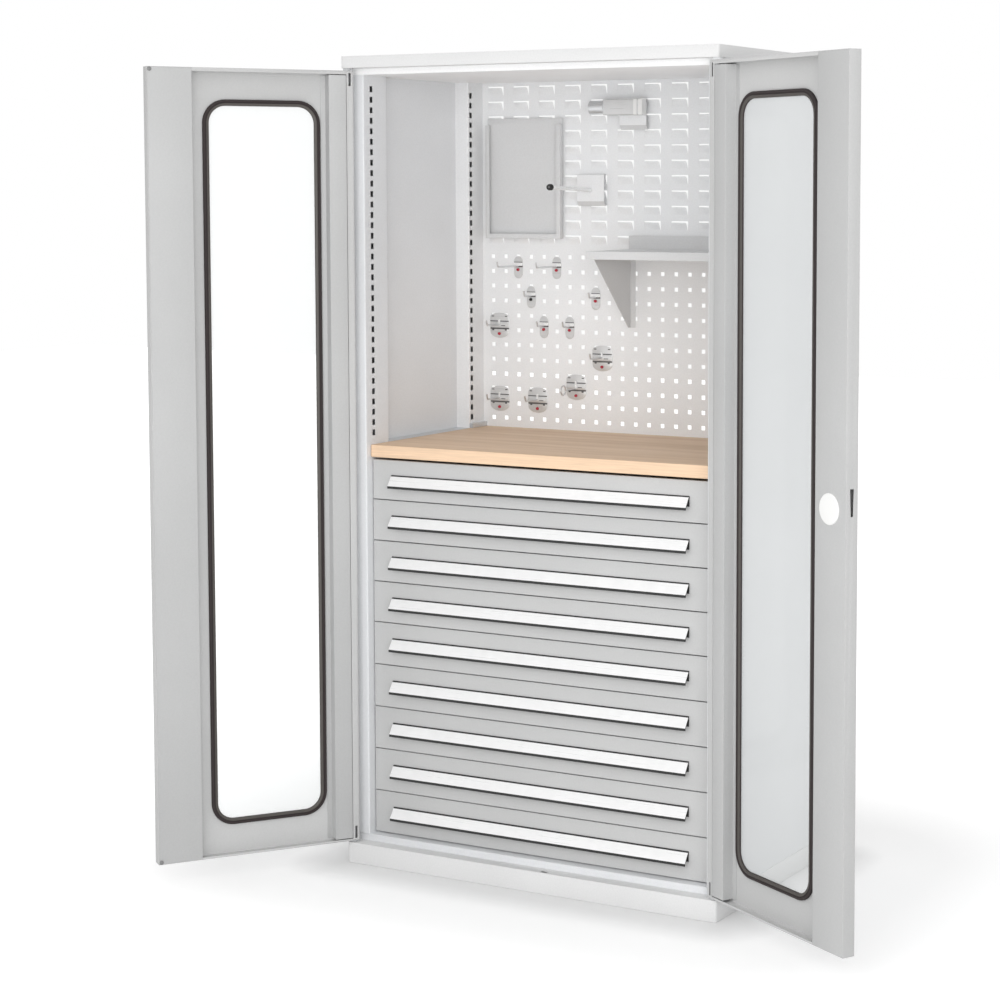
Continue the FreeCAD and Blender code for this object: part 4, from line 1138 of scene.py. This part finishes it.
class CABINET_OT_hooks(bpy.types.Operator):
    """Form the panel hooks, their clips, wires and locking pins"""

    bl_idname = "cabinet.hooks"
    bl_label = "Hooks"

    # The shade finish is a dark grey painted as shade in gaps and holes; the clip finish is bright zinc,
    # partly a painted highlight
    wire_steel, shade, sheet, clip = range(4)
    plate_depth = 2 * MM
    wire_radius = 2.4 * MM
    wire_bend = 5 * MM
    tip_reach = 4.5 * MM
    tip_rise = 13 * MM
    loop_reach = 66 * MM
    loop_radius = 12 * MM
    loop_wire_radius = 1.92 * MM

    def execute(self, context):
        self.steel = []
        self.pins = []
        kinds = (
            (LONG_SINGLES, self.single_plate, 25 * MM, 100 * MM),
            (SHORT_SINGLES, self.single_plate, 25 * MM, 32 * MM),
            (PLAIN_DOUBLES, self.double_plate, 30 * MM, 60 * MM),
            (LOOP_DOUBLES, self.double_plate, 36 * MM, 0),
        )
        root = PANEL_Y - self.plate_depth
        for places, plate, wire_drop, reach in kinds:
            for column, row in places:
                hole_x = FIRST_HOLE_X + column * HOLE_PITCH
                x, top, pin_drop = plate(hole_x, FIRST_HOLE_Z - row * HOLE_PITCH)
                if reach:
                    self.wire(x, root, top - wire_drop, reach)
                else:
                    self.loop(x, root, top - wire_drop)
                self.pin((x, root, top - pin_drop), int((column, row) == BLACK_PIN_HOOK))
        steels = [zinc_plate(), joint_shade(), hook_zinc(), bright_zinc()]
        add_piece("panel_hooks_formed", self.steel, steels, "cabinet", ["panel_hooks"])
        pins = [red_plastic(), black_plastic()]
        add_piece("hook_pins_formed", self.pins, pins, "cabinet", ["hook_pins"])
        return {"FINISHED"}

    def plate(self, outline, x, top, height, bars):
        """The sheet's outline pressed forward with a rounded rim, and small raised bars on it. A bar has a
        finish and, in millimetres, an offset from the middle, a drop from the top, and its three sizes."""
        levels = ((0, 1), (0.7 * self.plate_depth, 1), (self.plate_depth, 0.965))
        self.steel.append((*upright_plate(outline, x, top - height / 2, PANEL_Y, levels), self.sheet))
        for finish, *measures in bars:
            offset, drop, wide, high, rise = np.array(measures) * MM
            form = rounded_rectangle(wide, high, 0.3 * min(wide, high), 3)
            levels = ((0, 1), (0.8 * rise, 1), (rise, 0.94))
            bar = upright_plate(form, x + offset, top - drop, PANEL_Y - self.plate_depth, levels)
            self.steel.append((*bar, finish))

    def single_plate(self, x, hole):
        """A long plate round at both ends, with a bright clip, partly a painted highlight, between a thin
        dark bar and a thick one that are painted shade in the gaps over and under it.
        """
        width = 25.5 * MM
        height = 57 * MM
        top = hole + 1 * MM
        pin_drop = 34.5 * MM
        bars = (
            (self.shade, 0, 15.4, 24.5, 2, 0.6), (self.clip, 0, 20.5, 25.5, 8.5, 2.8),
            (self.shade, 1, 26.5, 25.5, 3.4, 1.2),
        )
        self.plate(domed_outline(width, height, width / 2, width / 2), x, top, height, bars)
        return x, top, pin_drop

    def double_plate(self, x, hole):
        """A wide plate domed at both ends, with a clip between two dark bars that are painted shade in its
        gaps, a bright rib down its middle that is partly a painted highlight, and a dark tab near each upper
        corner and each lower one, the upper ones painted as the shade of the holes that the tabs go into."""
        width = 57 * MM
        height = 65 * MM
        x = x + HOLE_PITCH / 2
        top = hole + 6 * MM
        pin_drop = 54 * MM
        bars = (
            (self.shade, 0, 21.6, 56, 2.6, 0.6), (self.sheet, 0, 31, 55, 15, 2.4),
            (self.clip, 0, 25, 4.5, 17, 3.2), (self.shade, 12, 33, 13, 2, 2.8),
            (self.shade, 1, 40.5, 56, 4, 1.4),
            (self.shade, -20, 9, 7, 2.4, 0.6), (self.shade, -19, 44, 6, 4, 0.8),
            (self.shade, 20, 9, 7, 2.4, 0.6), (self.shade, 19, 44, 6, 4, 0.8),
        )
        self.plate(domed_outline(width, height, 11 * MM, 17 * MM), x, top, height, bars)
        return x, top, pin_drop

    def wire(self, x, root, level, reach):
        """A round wire straight out of the plate, with its tip turned up through a bend."""
        end = root - reach
        line = bent_line(
            [(root, level), (end, level), (end - self.tip_reach, level + self.tip_rise)], self.wire_bend, 6
        )
        self.steel.append((*tube(upright_path(x, line), self.wire_radius), self.wire_steel))

    def loop(self, x, root, level):
        """A round wire that runs out of the plate and round in an upright ring."""
        ring = arc((root - self.loop_reach, level), self.loop_radius, 0, 345, 28)
        line = np.concatenate([[(root, level)], ring])
        self.steel.append((*tube(upright_path(x, line), self.loop_wire_radius), self.wire_steel))

    def pin(self, place, finish):
        """A stepped profile of (radius, height) points in millimetres, turned about y."""
        profile = np.array([(3.9, 0), (3.9, 1.6), (3.4, 2.2), (3.4, 4.2), (2.6, 5.0), (0, 5.2)]) * MM
        self.pins.append((*turned(profile, place, (0, -1, 0), (1, 0, 0), 16), finish))


class CABINET_OT_accessories(bpy.types.Operator):
    """Form the holders and the shelf on the louvres"""

    bl_idname = "cabinet.accessories"
    bl_label = "Accessories"

    hook_height = 14 * MM
    lip_height = 12 * MM
    plate_fold = 1.6 * MM
    plate_sheet = 1.5 * MM
    peg_radius = 5 * MM
    peg_rise = 7.5 * MM
    ring_sides = 24
    tube_drop = 68 * MM
    tube_plate_width = 75 * MM
    tube_plate_height = 76 * MM
    tube_overhang = 0.5 * MM
    tube_corner = 4 * MM
    tube_depth = 1.2

    def execute(self, context):
        width = context.scene.cabinet_sizes.edge_round
        round_edges("document_holder", shelf_coat(), width)
        round_edges("panel_shelf", shelf_coat(), width)
        self.rod_holder()
        self.tube_holder()
        return {"FINISHED"}

    def holder_plate(self, node, x0, x1, z0, z1):
        """A section of (y, z) points carried along x: a hook on the louvres, a fold forward, the plate's
        face and a foot that slants back to the louvres. The foot, which faces down, takes the darker shelf
        coat as painted shade."""
        section = bent_line(
            [
                (LOUVRE_Y, z1 - self.hook_height), (LOUVRE_Y, z1), (PLATE_FACE, z1),
                (PLATE_FACE, z0 + self.lip_height), (LOUVRE_Y, z0),
            ],
            self.plate_fold, 4,
        )
        points, faces = surface(along_x(section, x0, x1))
        # The last face, the slanting foot, takes the darker shelf coat: painted shade
        piece = add_piece(
            node + "_plate", two_finishes(points, faces, [len(faces) - 1]), [panel_coat(), shelf_coat()],
            "cabinet", [node], closed=False, smooth=20,
        )
        give_thickness(piece, self.plate_sheet)

    def rod_holder(self):
        """A standing plate and a round peg that rises slightly to a turned ring cap with a grey middle."""
        low = low_corner("rod_holder")
        high = high_corner("rod_holder")
        cap_low = low_corner("rod_cap")
        cap_high = high_corner("rod_cap")
        self.holder_plate("rod_holder", low[0], high[0], low[2], high[2])
        x, _, z = (cap_low + cap_high) / 2
        root = np.array([x, PLATE_FACE, z - self.peg_rise])
        end = np.array([x, cap_high[1], z])
        peg = tube(root + (end - root) * np.linspace(0, 1, 4)[:, None], self.peg_radius, 16)
        add_piece("rod_holder_peg", [peg], [bright_zinc()], "cabinet", ["rod_holder"])
        rim = [(0.5, 0), (0.92, 0), (1, 0.12), (1, 0.8), (0.9, 1), (0.46, 1)]
        middle = [(0.36, 0.96), (0, 0.94)]
        profile = np.array(rim + middle) * ((cap_high[2] - cap_low[2]) / 2, cap_high[1] - cap_low[1])
        points, faces = turned(profile, end, (0, -1, 0), (1, 0, 0), self.ring_sides)
        rim_faces = len(rim) * self.ring_sides
        inner = [*range(rim_faces, rim_faces + self.ring_sides), len(faces) - 1]
        add_piece(
            "rod_cap_ring", two_finishes(points, faces, inner), [black_plastic(), joint_shade()],
            "cabinet", ["rod_cap"],
        )

    def tube_holder(self):
        """A plated spring end turned about x, then rounded rectangles carried along x: a body, two bright
        bands and the neck between them. They stand in front of a standing plate."""
        low = low_corner("tube_holder")
        high = high_corner("tube_holder")
        right = high[0] - self.tube_overhang
        top = low[2] + self.tube_plate_height
        self.holder_plate("tube_holder", right - self.tube_plate_width, right, low[2], top)
        radius = (PLATE_FACE - low[1]) / 2
        depth = self.tube_depth * radius
        middle = np.array([PLATE_FACE - depth / 2, CEILING - self.tube_drop])
        length = high[0] - low[0]
        spring = np.array([(0, 0), (0.8, 0), (0.86, 0.008), (0.86, 0.28), (0, 0.28)]) * (radius, length)
        parts = [(*turned(spring, (low[0], *middle), (1, 0, 0), (0, 0, 1), 36), 0)]
        section = rounded_rectangle(depth, 2 * radius, self.tube_corner)
        body, band = 1, 2
        for start, end, share, finish in (
            (0.27, 0.84, 0.96, body), (0.84, 0.9, 1, band), (0.9, 0.93, 0.94, body), (0.93, 1, 1, band),
        ):
            box = stack(along_x(section * share + middle, low[0] + start * length, low[0] + end * length))
            parts.append((*box, finish))
        coats = [zinc_plate(), hook_zinc(), white_plastic()]
        add_piece("tube_holder_sleeve", parts, coats, "cabinet", ["tube_holder"])


class CABINET_OT_stage(bpy.types.Operator):
    """Set the pale floor, the soft lamps, the white surround and the camera"""

    bl_idname = "cabinet.stage"
    bl_label = "Stage"

    floor_half = 14.0
    floor_level = -0.5 * MM

    # Each lamp's place, the point that it faces, and its width
    lamps = {
        "front_lamp": ((0.6, -4.2, 2.4), (0, 0, 1.0), 4.5),
        "side_lamp": ((3.4, -4.2, 1.6), (0, 0, 1.0), 2.5),
        "near_lamp": ((0.4, -2.6, 1.2), (0, 0.3, 1.5), 1.6),
        "top_lamp": ((0.2, -1.2, 4.2), (0, -0.2, 0.5), 4.0),
    }

    def execute(self, context):
        stage = context.scene.cabinet_stage
        context.scene.view_settings.view_transform = "Standard"
        self.floor(stage)
        self.surround(context.scene, stage)
        for name, (place, aim, size) in self.lamps.items():
            self.lamp(name, place, aim, size, getattr(stage, name))
        camera = bpy.data.objects.new("camera", bpy.data.cameras.new("camera"))
        context.scene.collection.objects.link(camera)
        camera.location = stage.camera_place
        camera.rotation_euler = (math.pi / 2 - stage.camera_tilt, 0, stage.camera_turn)
        camera.data.lens = stage.camera_lens
        camera.data.shift_x, camera.data.shift_y = stage.camera_shift
        context.scene.camera = camera
        return {"FINISHED"}

    def floor(self, stage):
        """A flat square grid that keeps the shadow cast on it. Its own brightness shows only where it is
        seen and grows with the distance from the plinth: kept low next to the plinth, it paints a shadow
        there, and farther out it meets the white surround."""
        line = np.linspace(-self.floor_half, self.floor_half, 3)
        points = np.stack(np.broadcast_arrays(line[None, :], line[:, None], self.floor_level), -1)
        corners, faces = surface(points)
        mesh = bpy.data.meshes.new("floor")
        mesh.from_pydata(corners.tolist(), [], faces)
        values = {
            "Base Color": (0.8, 0.8, 0.8, 1), "Roughness": 0.9, "Specular IOR Level": 0.1,
            "Emission Color": (1, 1, 1, 1),
        }
        material, tree, shader = new_material("pale_floor", values)
        mirror = vector_maths(tree, "ABSOLUTE", {0: object_place(tree)})["Vector"]
        reach = vector_maths(tree, "SUBTRACT", {0: mirror, 1: high_corner("plinth")})["Vector"]
        outside = vector_maths(tree, "MAXIMUM", {0: reach})["Vector"]
        distance = vector_maths(tree, "LENGTH", {0: outside})["Value"]
        # Painted shadow: the floor's own brightness is low at the plinth and rises over a short reach
        near = ramp(tree, distance, stage.painted_floor_shadow, stage.floor_lift, 0, stage.painted_shadow_reach)
        far = ramp(tree, distance, 0, stage.floor_white, *stage.white_reach)
        lift = maths(tree, "MULTIPLY", self.seen(tree), maths(tree, "ADD", near, far))
        tree.links.new(lift, shader.inputs["Emission Strength"])
        mesh.materials.append(material)
        floor = bpy.data.objects.new("floor", mesh)
        bpy.context.scene.collection.objects.link(floor)

    def seen(self, tree):
        """One for rays from the camera, in a mirror or through glass, and nothing otherwise."""
        rays = tree.nodes.new("ShaderNodeLightPath").outputs
        mirrored_too = maths(tree, "MAXIMUM", rays["Is Camera Ray"], rays["Is Glossy Ray"])
        return maths(tree, "MAXIMUM", mirrored_too, rays["Is Transmission Ray"])

    def surround(self, scene, stage):
        """White where it is seen, and a plain level of light otherwise."""
        world = bpy.data.worlds.new("surround")
        world.use_nodes = True
        tree = world.node_tree
        sky = tree.nodes["Background"]
        sky.inputs["Color"].default_value = (1, 1, 1, 1)
        tree.links.new(ramp(tree, self.seen(tree), stage.sky_level, 1, 0, 1), sky.inputs["Strength"])
        scene.world = world

    def lamp(self, name, place, aim, size, power):
        """A square lamp at a place, facing a point."""
        light = bpy.data.lights.new(name, "AREA")
        light.size = size
        light.energy = power
        lamp = bpy.data.objects.new(name, light)
        bpy.context.scene.collection.objects.link(lamp)
        lamp.location = place
        lamp.rotation_euler = Vector(np.subtract(aim, place)).to_track_quat("-Z", "Y").to_euler()


class CABINET_PT_panel(bpy.types.Panel):
    """The cabinet's steps and settings"""

    bl_idname = "CABINET_PT_panel"
    bl_label = "Workbench cabinet"
    bl_space_type = "VIEW_3D"
    bl_region_type = "UI"
    bl_category = "Cabinet"

    def draw(self, context):
        for step in STEPS:
            self.layout.operator(step.bl_idname)
        for group in ("cabinet_finishes", "cabinet_sizes", "cabinet_stage"):
            settings = getattr(context.scene, group)
            for name in settings.__annotations__:
                self.layout.prop(settings, name)


STEPS = (
    CABINET_OT_carcass, CABINET_OT_tool_panels, CABINET_OT_worktop, CABINET_OT_drawers, CABINET_OT_doors,
    CABINET_OT_lock, CABINET_OT_hooks, CABINET_OT_accessories, CABINET_OT_stage,
)
CLASSES = (CabinetFinishes, CabinetSizes, CabinetStage, *STEPS, CABINET_PT_panel)


def register():
    for item in CLASSES:
        bpy.utils.register_class(item)
    bpy.types.Scene.cabinet_finishes = bpy.props.PointerProperty(type=CabinetFinishes)
    bpy.types.Scene.cabinet_sizes = bpy.props.PointerProperty(type=CabinetSizes)
    bpy.types.Scene.cabinet_stage = bpy.props.PointerProperty(type=CabinetStage)


def unregister():
    del bpy.types.Scene.cabinet_stage
    del bpy.types.Scene.cabinet_sizes
    del bpy.types.Scene.cabinet_finishes
    for item in reversed(CLASSES):
        bpy.utils.unregister_class(item)


def main():
    register()
    bpy.ops.cabinet.carcass()
    bpy.ops.cabinet.tool_panels()
    bpy.ops.cabinet.worktop()
    bpy.ops.cabinet.drawers()
    bpy.ops.cabinet.doors()
    bpy.ops.cabinet.lock()
    bpy.ops.cabinet.hooks()
    bpy.ops.cabinet.accessories()
    bpy.ops.cabinet.stage()


if __name__ == "__main__":
    main()
